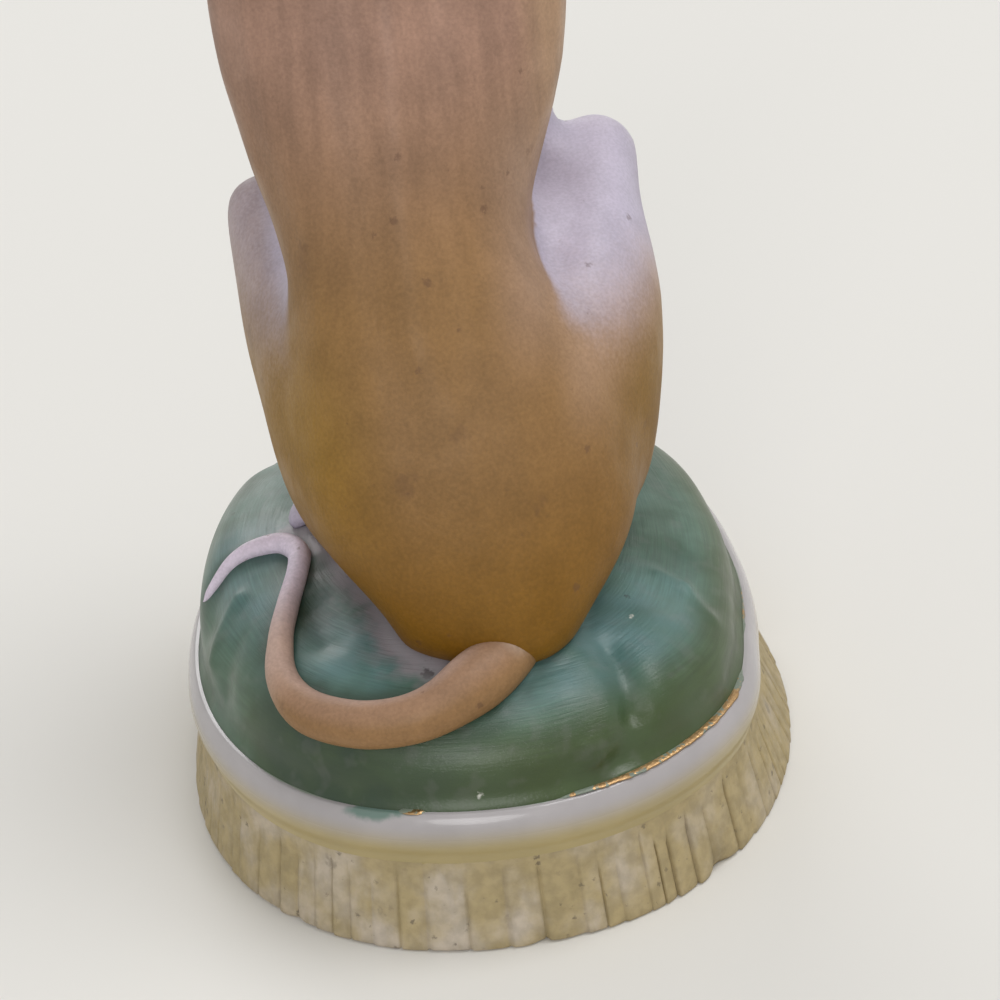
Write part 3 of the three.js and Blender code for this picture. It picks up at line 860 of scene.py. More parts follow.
def painted_bisque():
    material, tree, surface = new_shader("painted_bisque", 0.5, Specular_IOR_Level=0.28)
    mm = in_mm(tree)
    mottle = cloudy(mm, scale=0.2, detail=5.0, to=MOTTLE)
    axes = add("ShaderNodeSeparateXYZ", {0: mm})
    upright = stretched(mm, (0.7, 0.3, 0.035))
    streaks = cloudy(upright, scale=1.0, detail=3.0, to=(-0.11, 0.09))
    on_back = ramp(axes.outputs["Z"], (50.0, 72.0), to=(0.2, 1.0))
    streaks = plus(times(streaks, on_back), 1.0)
    stipple = noise(mm, scale=2.2, detail=5.0)
    grain = noise(mm, scale=3.2, detail=4.0)
    paint = field(tree, "paint", "Color")
    colour = shaded(paint, streaks, ramp(stipple, NOISE_SPAN, to=(0.95, 1.05)))
    spray = plus(field(tree, "white"), ramp(stipple, NOISE_SPAN, to=(-0.035, 0.035)))
    # Behind, the slip is lilac, partly with painted bluish skylight.
    rearward = ramp(axes.outputs["Y"], (-24.0, -12.0))
    slip = mixed(rearward, linear(FRONT_WHITE), linear(REAR_WHITE_WITH_SKYLIGHT))
    colour = mixed(ramp(spray, (0.0, 0.9)), colour, slip)
    colour = shaded(colour, mottle, ramp(grain, NOISE_SPAN, to=(0.94, 1.06)))
    smudge = specks(mm, spacing=6.0, size=1.7, share=0.5)
    dots = specks(mm, spacing=2.4, size=0.55, share=0.5)
    colour = tinted(times(smudge, 0.26), colour, SMUDGE_BROWN)
    colour = tinted(times(dots, 0.42), colour, DOT_BROWN)
    link(surface, "Base Color", colour)
    satin = ramp(mottle, MOTTLE, to=(0.56, 0.44))
    shine = times(field(tree, "gloss"), -0.32)
    link(surface, "Roughness", plus(satin, shine))
    soft = bump(surface, noise(mm, scale=0.5, detail=2.0), depth=0.08)
    bump(surface, grain, depth=0.03, after=soft)
    return material


def green_enamel():
    gloss = {"Specular_IOR_Level": 0.4, "Coat_Weight": 0.3, "Coat_Roughness": 0.17}
    material, tree, surface = new_shader("green_enamel", 0.4, **gloss)
    mm = in_mm(tree)
    along = field(tree, "brush", "Vector")
    strokes = noise(stretched(along, (3.2, 0.9, 0.9)), scale=1.0, detail=4.0)
    wide = noise(stretched(along, (0.25, 0.6, 0.6)), scale=1.0, detail=4.0)
    cloud = noise(mm, scale=0.13, detail=5.0)
    colour = mixed(ramp(cloud, (0.32, 0.68)), linear(DARK_GREEN), linear(PALE_GREEN))
    # Bluer where the enamel is thin and where sheen is painted.
    thin_and_sheen = cloudy(mm, scale=0.11, detail=3.0, to=(0.15, 0.65), span=(0.35, 0.7))
    colour = tinted(times(thin_and_sheen, field(tree, "thin_and_sheen")), colour, THIN_AND_SHEEN_GREEN)
    # Painted yellow reflected light at the cushion's foot.
    colour = tinted(field(tree, "edge"), colour, FOOT_REFLECTED_GREEN)
    colour = tinted(times(field(tree, "deep"), 0.45), colour, LOOP_GREY)
    patchy = cloudy(mm, scale=0.16, detail=2.0, to=(0.25, 1.0), span=(0.38, 0.62))
    brushed = times(ramp(strokes, NOISE_SPAN, to=(-0.14, 0.14)), patchy)
    colour = shaded(colour, plus(brushed, 1.0))
    # Darker green beside the tail.
    dark_beside_tail = times(field(tree, "dark_beside_tail"), ramp(cloud, (0.3, 0.6), to=(0.9, 0.4)))
    colour = tinted(dark_beside_tail, colour, DARK_BESIDE_TAIL_GREEN)
    ragged = cloudy(mm, scale=0.4, detail=2.0, to=(-0.2, 0.2))
    bare = plus(field(tree, "bare"), ragged)
    colour = tinted(ramp(bare, (0.05, 0.9), to=(0.0, 0.85)), colour, BARE_CLAY)
    grime = times(specks(mm, spacing=1.7, size=0.8, share=0.5), field(tree, "bare"))
    colour = tinted(grime, colour, GRIME)
    black = specks(mm, spacing=3.0, size=0.5, share=0.35)
    colour = tinted(times(black, 0.6), colour, BLACK_SPECK)
    chips = specks(stretched(mm, (1.0, 1.0, 1.1)), spacing=7.0, size=0.7, share=0.35)
    colour = tinted(chips, colour, WHITE_CHIP)
    link(surface, "Base Color", colour)
    link(surface, "Roughness", ramp(wide, NOISE_SPAN, to=(0.34, 0.5)))
    soft = bump(surface, noise(mm, scale=0.25, detail=1.0), depth=0.06)
    bump(surface, strokes, depth=0.05, after=soft)
    hairs = noise(stretched(along, (8.0, 2.2, 2.2)), scale=1.0, detail=3.0)
    relief = plus(hairs, noise(mm, scale=3.6, detail=2.0))
    bump(surface, relief, depth=0.08, socket="Coat Normal")
    return material


def white_glaze():
    gloss = {"Specular_IOR_Level": 0.4, "Coat_Weight": 0.5, "Coat_Roughness": 0.08}
    material, tree, surface = new_shader("white_glaze", 0.25, **gloss)
    mm = in_mm(tree)
    cloud = noise(mm, scale=0.15, detail=3.0)
    up = field(tree, "rise")
    # Yellower low on the rim: partly its cream, partly painted yellow reflected light.
    colour = mixed(up, linear(YELLOW_REFLECTED_GLAZE), linear(CLEAN_GLAZE))
    colour = shaded(colour, ramp(cloud, NOISE_SPAN, to=(0.95, 1.05)))
    ragged = cloudy(mm, scale=0.6, detail=3.0, to=(-0.15, 0.15))
    smear = ramp(plus(field(tree, "smear"), ragged), (0.3, 0.8), to=(0.0, 0.85))
    colour = tinted(smear, colour, SMEARED_GREEN)
    dots = specks(mm, spacing=4.5, size=0.5, share=0.3)
    colour = tinted(times(dots, 0.6), colour, GLAZE_SPECK)
    link(surface, "Base Color", colour)
    link(surface, "Roughness", ramp(up, (0.0, 0.6), to=(0.5, 0.26)))
    bump(surface, noise(mm, scale=0.3, detail=2.0), depth=0.12)
    return material


def cream_bisque():
    material, tree, surface = new_shader("cream_bisque", 0.62, Specular_IOR_Level=0.35)
    mm = in_mm(tree)
    cloud = noise(mm, scale=0.16, detail=4.0)
    stain = noise(stretched(mm, (0.5, 0.5, 0.16)), scale=1.0, detail=4.0)
    pale = plus(ramp(cloud, NOISE_SPAN, to=(-0.35, 0.35)), field(tree, "tone"))
    colour = mixed(ramp(pale, (0.05, 0.95)), linear(DARK_CREAM), linear(PALE_CREAM))
    colour = tinted(ramp(stain, (0.5, 0.74), to=(0.0, 0.6)), colour, STAINED_CREAM)
    # Painted shade, with dirt, in the creases, grooves and shallow flutes; darker round the chips.
    colour = tinted(times(field(tree, "groove"), 0.5), colour, GROOVE_DIRT_AND_SHADE)
    dust = specks(mm, spacing=1.0, size=0.38, share=0.6)
    dust = times(dust, ramp(noise(mm, scale=0.2, detail=2.0), (0.4, 0.58)))
    colour = tinted(times(dust, 0.6), colour, DUST)
    mottle = cloudy(mm, scale=0.8, detail=5.0, to=(0.88, 1.1))
    colour = shaded(colour, mottle)
    smudge = specks(mm, spacing=4.0, size=1.1, share=0.45)
    colour = tinted(times(smudge, 0.4), colour, SMUDGE_GREY)
    link(surface, "Base Color", colour)
    grain = noise(mm, scale=2.2, detail=5.0)
    link(surface, "Roughness", ramp(grain, NOISE_SPAN, to=(0.5, 0.7)))
    soft = bump(surface, noise(mm, scale=0.8, detail=3.0), depth=0.14)
    bump(surface, grain, depth=0.05, after=soft)
    return material


def worn_gold():
    material, tree, surface = new_shader("worn_gold", 0.36)
    mm = in_mm(tree)
    wear = cloudy(mm, scale=0.55, detail=6.0, to=(-0.4, 0.4))
    fine = cloudy(mm, scale=2.6, detail=3.0, to=(-0.16, 0.16), span=(0.35, 0.65))
    wear = plus(wear, fine)
    gold = ramp(plus(field(tree, "kept"), wear), (0.34, 0.46))
    tone = noise(mm, scale=2.4, detail=4.0)
    leaf = mixed(tone, linear(DULL_GOLD), linear(BRIGHT_GOLD))
    link(surface, "Base Color", mixed(gold, linear(UNDER_GOLD), leaf))
    link(surface, "Metallic", gold)
    bump(surface, noise(mm, scale=3.0, detail=4.0), depth=0.08)
    return material


def seen_directly(tree):
    """1 for rays from the camera, a mirror or clear glass, 0 for scattered light."""
    path = add("ShaderNodeLightPath", {}, tree)
    seen = math_node("MAXIMUM", path.outputs["Is Camera Ray"], path.outputs["Is Glossy Ray"])
    return math_node("MAXIMUM", seen, path.outputs["Is Transmission Ray"])


def add_floor():
    bpy.ops.mesh.primitive_plane_add(size=FLOOR_SIZE)
    floor = bpy.context.object
    floor.name = "studio_floor"
    material, tree, surface = new_shader("pale_floor", 0.8)
    surface.inputs["Base Color"].default_value = linear(FLOOR_COLOUR)
    place = add("ShaderNodeTexCoord", {}, tree).outputs["Object"]
    far = add("ShaderNodeVectorMath", {0: place}, operation="LENGTH").outputs["Value"]
    fade = times(ramp(far, FLOOR_FADE), seen_directly(tree))
    glow = add("ShaderNodeEmission", {"Color": linear(BACKGROUND_COLOUR)}, tree)
    both = add("ShaderNodeMixShader", {0: fade, 1: surface.outputs[0], 2: glow.outputs[0]})
    link(tree.nodes["Material Output"], "Surface", both.outputs[0])
    floor.data.materials.append(material)


def add_light():
    scene = bpy.context.scene
    world = bpy.data.worlds.new("studio")
    world.use_nodes = True
    tree = world.node_tree
    light = tree.nodes["Background"]
    light.inputs["Color"].default_value = linear(LIGHT_COLOUR)
    light.inputs["Strength"].default_value = WORLD_STRENGTH
    pale = add("ShaderNodeBackground", {"Color": linear(BACKGROUND_COLOUR)}, tree)
    both = add("ShaderNodeMixShader", {0: seen_directly(tree), 1: light.outputs[0], 2: pale.outputs[0]})
    link(tree.nodes["World Output"], "Surface", both.outputs[0])
    scene.world = world
    for name, place, size, watts in LAMPS:
        lamp = bpy.data.lights.new(name, "AREA")
        lamp.shape = "DISK"
        lamp.size = size
        lamp.energy = watts
        holder = bpy.data.objects.new(name, lamp)
        holder.location = Vector(place)
        aim = Vector(LAMP_TARGET) - holder.location
        holder.rotation_euler = aim.to_track_quat("-Z", "Y").to_euler()
        scene.collection.objects.link(holder)


def add_camera():
    elevation, roll = math.radians(CAMERA_ELEVATION), math.radians(CAMERA_ROLL)
    back = Vector((0, math.cos(elevation), math.sin(elevation)))
    right = (-back).cross(Vector((0, 0, 1))).normalized()
    up = right.cross(-back)
    right, up = (
        right * math.cos(roll) + up * math.sin(roll),
        up * math.cos(roll) - right * math.sin(roll),
    )
    lens = bpy.data.cameras.new("camera")
    lens.sensor_width = SENSOR
    lens.lens = SENSOR * CAMERA_FOCAL
    lens.clip_start = CAMERA_NEAR * MM
    camera = bpy.data.objects.new("camera", lens)
    turn = Matrix((right, up, back)).transposed().to_4x4()
    place = (Vector(CAMERA_TARGET) + back * CAMERA_DISTANCE) * MM
    camera.matrix_world = Matrix.Translation(place) @ turn
    bpy.context.scene.collection.objects.link(camera)
    bpy.context.scene.camera = camera


# The dog.


def group_distance(names, points):
    """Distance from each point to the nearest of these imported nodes, in millimetres."""
    joined = bmesh.new()
    for name in names:
        joined.from_mesh(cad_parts[name].data)
    tree = BVHTree.FromBMesh(joined)
    joined.free()
    return np.array([tree.find_nearest(Vector(p) * MM)[3] for p in points]) / MM


def blend_colours(first, second, share):
    return first + (np.array(second)[None, :3] - first) * share[:, None]


def layered(base, layers, places):
    """A base colour with layers over it, each faded in over columns of the places."""
    colour = np.tile(np.array(linear(base))[:3], (len(places), 1))
    for layer, strength, fades in layers:
        colour = blend_colours(colour, linear(layer), strength * faded(places, fades))
    return colour


def head_place(points):
    """Each point along the head's axis, to the side of it and above it."""
    axis = np.array(NOSE) - np.array(SKULL)
    axis /= np.linalg.norm(axis)
    up = np.array([0.0, axis[2], -axis[1]])
    away = points - np.array(SKULL)
    along = away @ axis
    return np.stack([along, np.abs(away[:, 0] + HEAD_TURN * along), away @ up], 1)


def model_head(points, triangles):
    for centre, radii, height in HEAD_FORM:
        rise = height * faded(points, HEAD) * near_to(head_place(points), centre, radii)
        points = raised(points, rise, vertex_normals(points, triangles))
    along, _, above = head_place(points).T
    line = MOUTH_HEIGHT - MOUTH_SLOPE * (LIPS_ALONG - along)
    mouth = bell(above - line, MOUTH_WIDTH) * smoothstep(along, *MOUTH_CORNER) * faded(points, HEAD)
    return raised(points, -MOUTH_DEPTH * mouth, vertex_normals(points, triangles))


def model_toes(points, triangles):
    normals = vertex_normals(points, triangles)
    sink = np.zeros(len(points))
    for name in FOOT_NODES:
        low, high = node_box(name)
        middle, width = (low[0] + high[0]) / 2, high[0] - low[0]
        length = min(high[1] - low[1], TOE_LENGTH)
        inside = np.all((points > low - TOE_MARGIN) & (points < high + TOE_MARGIN), axis=1)
        front = inside * smoothstep(points[:, 1], low[1] + TOE_START * length, low[1] + TOE_FULL * length)
        for k in (-1, 0, 1):
            across = points[:, 0] - middle - TOE_SPACING * k * width
            sink += TOE_DEPTH * front * bell(across, TOE_GROOVE)
    return raised(points, -sink, normals)


def coat_white(points, normals):
    """How white the coat is: on the lower legs, knees, chest and left heel."""
    x, y, z = points.T
    trunk = group_distance(TRUNK_NODES, points)
    thighs = group_distance(THIGH_NODES, points)
    legs = group_distance(WHITE_NODES, points)
    thigh_full = THIGH_FULL + THIGH_SPRAY * smoothstep(z, *SPRAY_HEIGHT)
    on_thigh = smoothstep(trunk - thighs, THIGH_START, thigh_full)
    forward = KNEE_FORWARD * np.maximum(KNEE_FRONT - y, 0)
    right_knee = smoothstep(z + forward, *RIGHT_KNEE)
    inner = smoothstep(x, *LEFT_KNEE_INNER) * smoothstep(z, *LEFT_KNEE_TOP)
    # The left knee is only partly white, as painted shade, and whiter on its inner side.
    left_knee = (LEFT_KNEE_SHADED_SHARE + LEFT_KNEE_INNER_SHARE * inner) * smoothstep(z, *LEFT_KNEE)
    left_knee = np.maximum(left_knee, smoothstep(y, *LEFT_KNEE_FRONT))
    knee = on_thigh * np.where(x > 0, left_knee, right_knee)
    lower_leg = smoothstep(np.minimum(trunk, thighs) - legs, *LOWER_LEG_EDGE)
    lower_leg = lower_leg * smoothstep(z, *LOWER_LEG_TOP)
    blaze = BLAZE_WIDTH - BLAZE_NARROWING * smoothstep(z, *BLAZE_HEIGHT)
    in_blaze = smoothstep(np.abs(x - BLAZE_MIDDLE), blaze + BLAZE_OUTSIDE, blaze - BLAZE_INSIDE)
    chest = smoothstep(-normals[:, 1], *CHEST_FACING) * in_blaze
    chest = chest * smoothstep(z, *CHEST_TOP) * smoothstep(trunk, *CHEST_GAP)
    heel = smoothstep(near_to(points, HEEL_WHITE, HEEL_WHITE_RADIUS), *HEEL_WHITE_EDGE)
    return np.maximum.reduce([knee, lower_leg, chest, heel])


def coat_dark(points):
    """How dark the paint is: on the eyes and the nose."""
    place = head_place(points)
    eye = faded(points, HEAD) * near_to(place, EYE, np.array(EYE_RADII) * EYE_PAINT)
    nose = smoothstep(place[:, 0], *NOSE_PAINT_ALONG) * smoothstep(place[:, 2], *NOSE_PAINT_LOW)
    return np.maximum(smoothstep(eye, *EYE_PAINT_EDGE), faded(points, HEAD) * nose)


def smooth_haunches(points, edges, triangles):
    """Fills and smooths the seams of the haunches, and leaves the left heel."""
    haunch = faded(points, HAUNCH) * smoothstep(np.abs(points[:, X]), *HAUNCH_ACROSS)
    haunch = haunch * smoothstep(near_to(points, HEEL, HEEL_RADIUS), *HEEL_EDGE)
    points = fill_hollows(points, edges, triangles, haunch, HAUNCH_FILL_ROUNDS)
    return relax(points, edges, RELAX_SHARE * haunch, HAUNCH_ROUNDS)


def model_spine(points, triangles):
    normals = vertex_normals(points, triangles)
    beside = np.abs(points[:, X] - np.interp(points[:, Z], SPINE_HEIGHTS, SPINE_ACROSS))
    back = faded(points, BACK) * smoothstep(normals[:, Y], *BACK_FACING)
    form = sum(height * bell(beside - place, width) for place, height, width in SPINE_FORM)
    return raised(points, back * form, normals)


def build_dog(material):
    points, edges, faces = mesh_arrays(merged_mesh(DOG_NODES, DOG_SWELL, DOG_VOXEL, WEBS))
    triangles = triangles_of(faces)
    points = relax(points, edges, np.full(len(points), RELAX_SHARE), SKIN_ROUNDS)
    points = smooth_haunches(points, edges, triangles)
    points = points - DOG_SWELL * SWELL_TAKEN_BACK * vertex_normals(points, triangles)
    points = pulled(points, HAUNCH_PULLS)
    body = smoothstep(points[:, 2], *BODY_TOP)
    points = relax(points, edges, RELAX_SHARE * body, BODY_ROUNDS)
    points = model_spine(points, triangles)
    centres = np.array([points[list(f)].mean(0) for f in faces])
    paws = (centres[:, 1] < FINE_PAWS_FRONT) & (centres[:, 2] < FINE_PAWS_TOP)
    points, edges, faces = refined(points, faces, (centres[:, 2] > FINE_HEAD) | paws)
    triangles = triangles_of(faces)
    points = relax(points, edges, np.full(len(points), FINE_SHARE), FINE_ROUNDS)
    points = model_head(points, triangles)
    points = model_toes(points, triangles)
    dark = coat_dark(points)
    colour = layered(TAN, COAT_LAYERS, points)
    fields = {
        "paint": blend_colours(colour, linear(DARK_BROWN), dark),
        "white": coat_white(points, vertex_normals(points, triangles)),
        "gloss": dark,
    }
    return make_piece("dog_figure", points, faces, material, DOG_NODES, fields)


def spline(knots, steps):
    """A smooth line through the knots."""
    knots = np.array(knots)
    padded = np.concatenate([[2 * knots[0] - knots[1]], knots, [2 * knots[-1] - knots[-2]]])
    t = np.linspace(0, 1, steps, endpoint=False)[:, None]
    line = []
    for p, q, r, s in zip(padded, padded[1:], padded[2:], padded[3:]):
        square, cube = 2 * p - 5 * q + 4 * r - s, 3 * q - p - 3 * r + s
        line.append(0.5 * (2 * q + (r - p) * t + square * t**2 + cube * t**3))
    return np.concatenate(line + [knots[-1:]])


def build_tail(material, cushion):
    line = spline(TAIL_LINE, TAIL_STEPS)
    ground = surface_tree(cushion)
    down = Vector((0, 0, -1))
    starts = [Vector((x * MM, y * MM, TAIL_ABOVE * MM)) for x, y in line[:, :2]]
    level = np.array([ground.ray_cast(start, down)[0].z / MM for start in starts])
    level = np.pad(level, TAIL_LEVEL_SPAN // 2, "edge")
    level = np.convolve(level, np.ones(TAIL_LEVEL_SPAN) / TAIL_LEVEL_SPAN, "valid")
    centre = np.stack([line[:, 0], line[:, 1], level + line[:, 2]], 1)
    ahead = np.gradient(centre, axis=0)
    ahead /= np.linalg.norm(ahead, axis=1, keepdims=True)
    side = np.cross(ahead, [0, 0, 1.0])
    side /= np.linalg.norm(side, axis=1, keepdims=True)
    up = np.cross(side, ahead)
    share = np.linspace(0, 1, len(line))
    end = np.sqrt(np.clip(1 - smoothstep(share, *TAIL_TIP) ** 2 * TIP_ROUNDING, 0, 1))
    radius = line[:, 3] * end
    turn = round_angles(TAIL_SIDES)
    around = np.cos(turn)[None, :, None] * side[:, None] + np.sin(turn)[None, :, None] * up[:, None]
    points = (centre[:, None] + radius[:, None, None] * around).reshape(-1, 3)
    faces = [quad[::-1] for quad in ring_faces(len(line), TAIL_SIDES, False)]
    faces.append(tuple(range(TAIL_SIDES)))
    faces.append(tuple(range((len(line) - 1) * TAIL_SIDES, len(line) * TAIL_SIDES))[::-1])
    # Which way each point faces up: the tail's top gets a painted highlight.
    upward = vertex_normals(points, triangles_of(faces))[:, Z]
    places = np.stack([np.repeat(share, TAIL_SIDES), upward, np.tile(np.cos(turn), len(line))], 1)
    bare = np.zeros(len(points))
    fields = {"paint": layered(TAIL_TAN, TAIL_LAYERS, places), "white": bare, "gloss": bare}
    return make_piece("curled_tail", points, faces, material, ("tail",), fields)


# The base.


def cushion_height(x, y, half_width, half_length, foot):
    reach = np.abs(x / half_width) ** OVAL_POWER + np.abs(y / half_length) ** OVAL_POWER
    reach = np.minimum(reach ** (1 / OVAL_POWER), 1)
    dome = CUSHION_CROWN * (1 - reach**CUSHION_FULLNESS) ** (1 / CUSHION_FULLNESS)
    return foot + dome + CUSHION_TILT * (x / half_width) * (1 - reach**TILT_FADE)


def to_segment(points, start, end):
    """Distance from each point to a straight segment."""
    start, end = np.array(start), np.array(end)
    line = end - start
    share = np.clip(((points - start) @ line) / (line @ line), 0, 1)
    return np.linalg.norm(points - start - share[:, None] * line, axis=1)


def enamel_fields(points, reach, angle, gap):
    """How the enamel lies: reach and angle are places on the cushion, gap is the distance to the dog."""
    x, y = points[:, 0], points[:, 1]
    brush = np.stack([reach * BRUSH_OUT, np.cos(angle) * BRUSH_ROUND, np.sin(angle) * BRUSH_ROUND], 1)
    # Painted yellow reflected light at the foot, less on the left.
    edge = smoothstep(reach, *FOOT_REFLECTION_REACH) * (FOOT_REFLECTION_SHARE - FOOT_REFLECTION_LEFT_LOSS * smoothstep(x, *FOOT_REFLECTION_LEFT))
    beside = np.full(len(points), np.inf)
    for tail_x, tail_y, _, radius in spline(TAIL_LINE, TAIL_STEPS):
        beside = np.minimum(beside, np.hypot(x - tail_x, y - tail_y) - radius)
    rubbed = sum(share * smoothstep(gap, low, high) for share, low, high in RUBBED)
    places = np.column_stack([points, reach])
    return {
        "brush": brush,
        "edge": edge,
        "bare": rubbed * faded(points, BARE),
        "deep": near_to(points, LOOP_HOLLOW, LOOP_RADII),
        "thin_and_sheen": np.maximum(faded(places, THIN_AND_SHEEN_REAR), faded(places, THIN_AND_SHEEN_LEFT)),
        "dark_beside_tail": smoothstep(beside, *DARK_BESIDE_TAIL_GAP),
    }


def build_cushion(material, dog):
    low, high = node_box("cushion")
    base_high = node_box("base_fringe")[1]
    half_width, half_length, foot = high[0], high[1], low[2]
    angle = round_angles(CUSHION_COLUMNS)
    ex, ey = oval(half_width, half_length, angle)
    slope = np.linspace(math.pi / 2, CROWN_SLOPE, CUSHION_ROWS)
    reach = np.sin(slope) ** (2 / CUSHION_FULLNESS)
    x, y = np.outer(reach, ex), np.outer(reach, ey)
    z = cushion_height(x, y, half_width, half_length, foot)
    ux, uy = np.outer(UNDERSIDE, ex), np.outer(UNDERSIDE, ey)
    uz = np.maximum(cushion_height(ux, uy, half_width, half_length, foot) - CUSHION_WALL, foot - LAP)
    uz[-FLAT_ROWS:] = foot - LAP
    fx, fy = oval(base_high[0] - CUSHION_FOOT_INSET, base_high[1] - CUSHION_FOOT_INSET, angle)
    fz = [np.full(CUSHION_COLUMNS, foot - lap) for lap in (LAP, CUSHION_FOOT_LAP)]
    px = np.concatenate([ux, fx[None], fx[None], x])
    py = np.concatenate([uy, fy[None], fy[None], y])
    pz = np.concatenate([uz, fz, z])
    points = np.stack([px.ravel(), py.ravel(), pz.ravel()], 1)
    rows = len(px)
    faces = ring_faces(rows, CUSHION_COLUMNS, False)
    faces.append(tuple(range(CUSHION_COLUMNS))[::-1])
    faces.append(tuple(range((rows - 1) * CUSHION_COLUMNS, rows * CUSHION_COLUMNS)))
    row = np.repeat(np.arange(rows), CUSHION_COLUMNS)
    low_edge = np.repeat(smoothstep(pz[:, 0] - foot, *FOOT_SOFTENED), CUSHION_COLUMNS)
    low_edge = low_edge * (row > len(UNDERSIDE) + 1)
    index = np.arange(len(points)).reshape(rows, CUSHION_COLUMNS)
    links = np.stack([index[:-1].ravel(), index[1:].ravel()], 1)
    points = relax(points, links, RELAX_SHARE * low_edge, FOOT_ROUNDS)
    normals = vertex_normals(points, triangles_of(faces))
    top = row > len(UNDERSIDE) + 2
    for start, end, width, height in FOLDS:
        points = raised(points, top * height * bell(to_segment(points, start, end), width), normals)
    points = tapered(points)
    body = surface_tree(dog)
    gap = np.array([body.find_nearest(Vector(p) * MM)[3] for p in points]) / MM
    points[:, 2] += top * FILLET * smoothstep(gap, *FILLET_GAP)
    all_reach = np.repeat(np.concatenate([UNDERSIDE, [1.0, 1.0], reach]), CUSHION_COLUMNS)
    fields = enamel_fields(points, all_reach, np.tile(angle, rows), gap)
    return make_piece("puffed_cushion", points, faces, material, ("cushion",), fields)


def build_rim(material):
    top = node_box("base_rim")[1][2]
    base_high = node_box("base_fringe")[1]
    angle = round_angles(RIM_COLUMNS)
    turn = np.radians(np.linspace(0, 90, RIM_STEPS))
    cove = np.linspace(0, 0.5, RIM_STEPS)[:-1]
    rise = np.concatenate([cove, (np.sin(turn) + 1) / 2])
    swell = np.concatenate([(1 - np.cos(FULL_TURN * cove)) / 2, np.cos(turn)])
    inset = FRINGE_FLARE - RIM_PROUD + RIM_SETBACK * rise**2 - RIM_BULGE * swell
    foot = base_high[2] - RIM_LAP
    height = foot + (top - foot) * rise
    below = foot - RIM_FOOT_DEPTH
    inner = [RIM_SHELF, HOLLOW_INSET, HOLLOW_INSET, RIM_SHELF]
    inset = np.concatenate([[inset[0] + RIM_FOOT_INSET], inset, inner])
    height = np.concatenate([[below], height, [top, top, below, below]])
    wave = sum(tall * np.sin(count * angle + start) for tall, count, start in RIM_WAVES)
    rings = [base_ring(base_high, d, angle, h + wave * (d < WAVY_INSET)) for d, h in zip(inset, height)]
    points = tapered(np.concatenate(rings))
    faces = ring_faces(len(inset), RIM_COLUMNS, True)
    up = np.clip((points[:, 2] - foot) / (top - foot), 0, 1)
    smear = near_to(points, GREEN_SMEAR, SMEAR_RADII)
    fields = {"rise": smoothstep(up, *RIM_WHITE_RISE), "smear": smear}
    return make_piece("rolled_rim", points, faces, material, ("base_rim",), fields)


def build_gilding(material):
    low, high = node_box("gilt_line")
    base_high = node_box("base_fringe")[1]
    inset = base_high[0] - high[0] + GILT_INSET
    angle = round_angles(GILT_COLUMNS)
    line = np.stack(oval(base_high[0] - inset, base_high[1] - inset, angle), 1)
    kept = np.zeros(GILT_COLUMNS)
    for place, length, amount in GILT_LEFT:
        kept += amount * bell(np.linalg.norm(line - np.array(place), axis=1), length)
    kept = np.clip(kept, 0, GILT_MOST)
    draw = np.random.default_rng(SEED)
    ragged = np.tile(draw.normal(0, 1, GILT_COLUMNS), 3)
    ragged = np.convolve(ragged, np.ones(GILT_RAGGED_SPAN) / GILT_RAGGED_SPAN, "same")
    ragged = ragged[GILT_COLUMNS : 2 * GILT_COLUMNS]
    half_width = GILT_HALF_WIDTH + GILT_WIDENING * smoothstep(kept, *GILT_WIDE_FROM)
    half_width = half_width + GILT_RAGGEDNESS * ragged
    level = low[2] - GILT_THICKNESS + GILT_LIFT * smoothstep(kept, *GILT_LIFT_FROM)
    rings = []
    for turn in round_angles(GILT_SIDES):
        height = level + GILT_THICKNESS * math.sin(turn)
        rings.append(base_ring(base_high, inset - half_width * math.cos(turn), angle, height))
    points = tapered(np.concatenate(rings))
    faces = ring_faces(GILT_SIDES, GILT_COLUMNS, True)
    fields = {"kept": np.tile(kept, GILT_SIDES)}
    return make_piece("worn_gilding", points, faces, material, ("gilt_line",), fields)


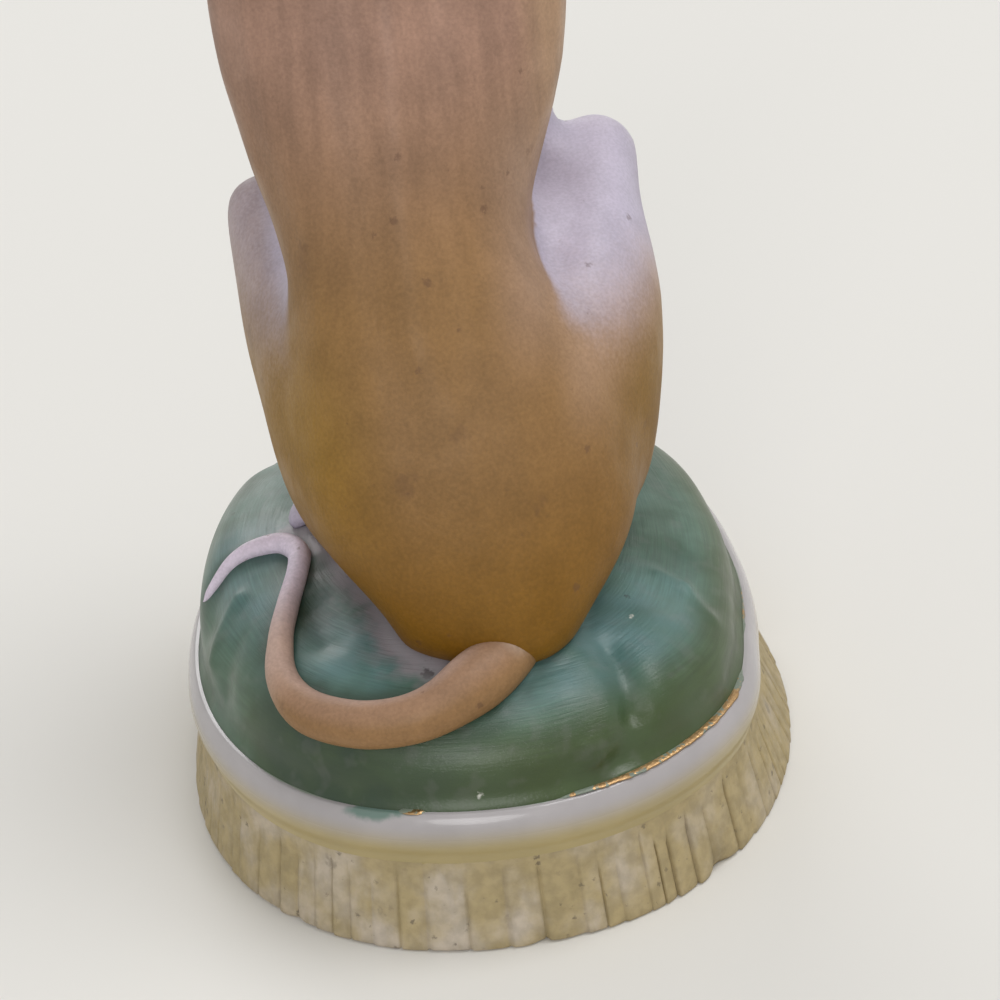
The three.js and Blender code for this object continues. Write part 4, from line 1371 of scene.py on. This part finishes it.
def build_fringe(material):
    high = node_box("base_fringe")[1]
    top = high[2]
    draw = np.random.default_rng(SEED)
    width = 1 + draw.uniform(-PLEAT_UNEVENNESS, PLEAT_UNEVENNESS, PLEATS)
    starts = np.concatenate([[0], np.cumsum(width)[:-1]]) / width.sum() * FULL_TURN
    spans = width / width.sum() * FULL_TURN
    angle = (starts[:, None] + spans[:, None] * PLEAT_STEPS).ravel()
    phase = np.tile(PLEAT_STEPS, PLEATS)
    to_side = np.minimum(phase, 1 - phase)
    drawn = [np.repeat(draw.uniform(*span, PLEATS), len(PLEAT_STEPS)) for span in PLEAT_DRAWS]
    step, crease, chance, fade, soft, lift, shade_band, pleat_tone_and_shade = drawn
    crease = crease * (chance < CREASED_SHARE)
    lift = np.maximum(lift, 0)
    # A band of painted shade on the worn, shallow flutes.
    shade_band = shade_band * smoothstep(to_side, *SHADE_BAND_EDGE)
    groove = smoothstep(to_side, *GROOVE_EDGE)
    lead = smoothstep(phase, *LEAD_EDGE)
    x0, y0 = oval(high[0], high[1], angle)
    worn = sum(share * smoothstep(x0, low, high) for share, low, high in WORN)
    crisp = 1 - worn * smoothstep(y0, *WORN_REAR)
    flute = crisp * (step * (1 - lead) + 0.5 * step * phase**FLUTE_POWER * lead + crease * groove)
    creased = crisp * groove * (CREASE_SHADE * crease / CREASE_MOST + GROOVE_SHADE)
    chip = np.zeros(len(angle))
    for place, length, depth in CHIPS:
        chip += depth * bell(np.hypot(x0 - place[0], y0 - place[1]), length)
    # Painted light behind and painted shade on the right.
    pale = LIT_REAR * bell(x0 - PALE_MIDDLE, PALE_WIDTH) * (y0 > 0)
    pale = pale - SHADED_RIGHT * smoothstep(x0, *SHADED_RIGHT_FROM)
    rings, grooves, tones = [], [], []
    for t, tuck in zip(FRINGE_RISES, FOOT_ROUNDING):
        shown = smoothstep(t, fade + 0.5 * soft, fade - 0.5 * soft)
        neck = NECK_DEPTH * math.sin(math.pi * max((t - NECK_FROM) / (1 - NECK_FROM), 0))
        inset = FRINGE_FLARE * t**FLARE_POWER + flute * shown + tuck + neck + chip * smoothstep(t, *CHIP_TOP)
        height = top * t + (lift + CHIP_LIFT * chip) * (1 - t) ** 3 * (t > 0)
        rings.append(base_ring(high, inset, angle, height))
        # Darker round the chip.
        darkened_at_chip = CHIP_DARKENING * chip * smoothstep(t, *CHIP_DARKENING_TOP)
        grooves.append(np.maximum((creased + (1 - crisp) * shade_band) * shown, darkened_at_chip))
        tones.append(pale + PLAIN_TONE + (pleat_tone_and_shade - PLAIN_TONE) * shown)
    inner = (
        (FRINGE_FLARE + FRINGE_TOP_INSET, top + LAP),
        (HOLLOW_INSET, top + LAP),
        (FRINGE_INNER_INSET, 0.0),
    )
    for inset, height in inner:
        rings.append(base_ring(high, inset, angle, height))
        grooves.append(np.zeros(len(angle)))
        tones.append(np.full(len(angle), PLAIN_TONE))
    points = tapered(np.concatenate(rings))
    faces = ring_faces(len(rings), len(angle), True)
    fields = {"groove": np.concatenate(grooves), "tone": np.concatenate(tones)}
    return make_piece("fluted_fringe", points, faces, material, ("base_fringe",), fields)


add_camera()
add_floor()
add_light()
coat = painted_bisque()
dog = build_dog(coat)
cushion = build_cushion(green_enamel(), dog)
build_tail(coat, cushion)
build_rim(white_glaze())
build_gilding(worn_gold())
build_fringe(cream_bisque())

bpy.context.scene.view_settings.view_transform = "Standard"
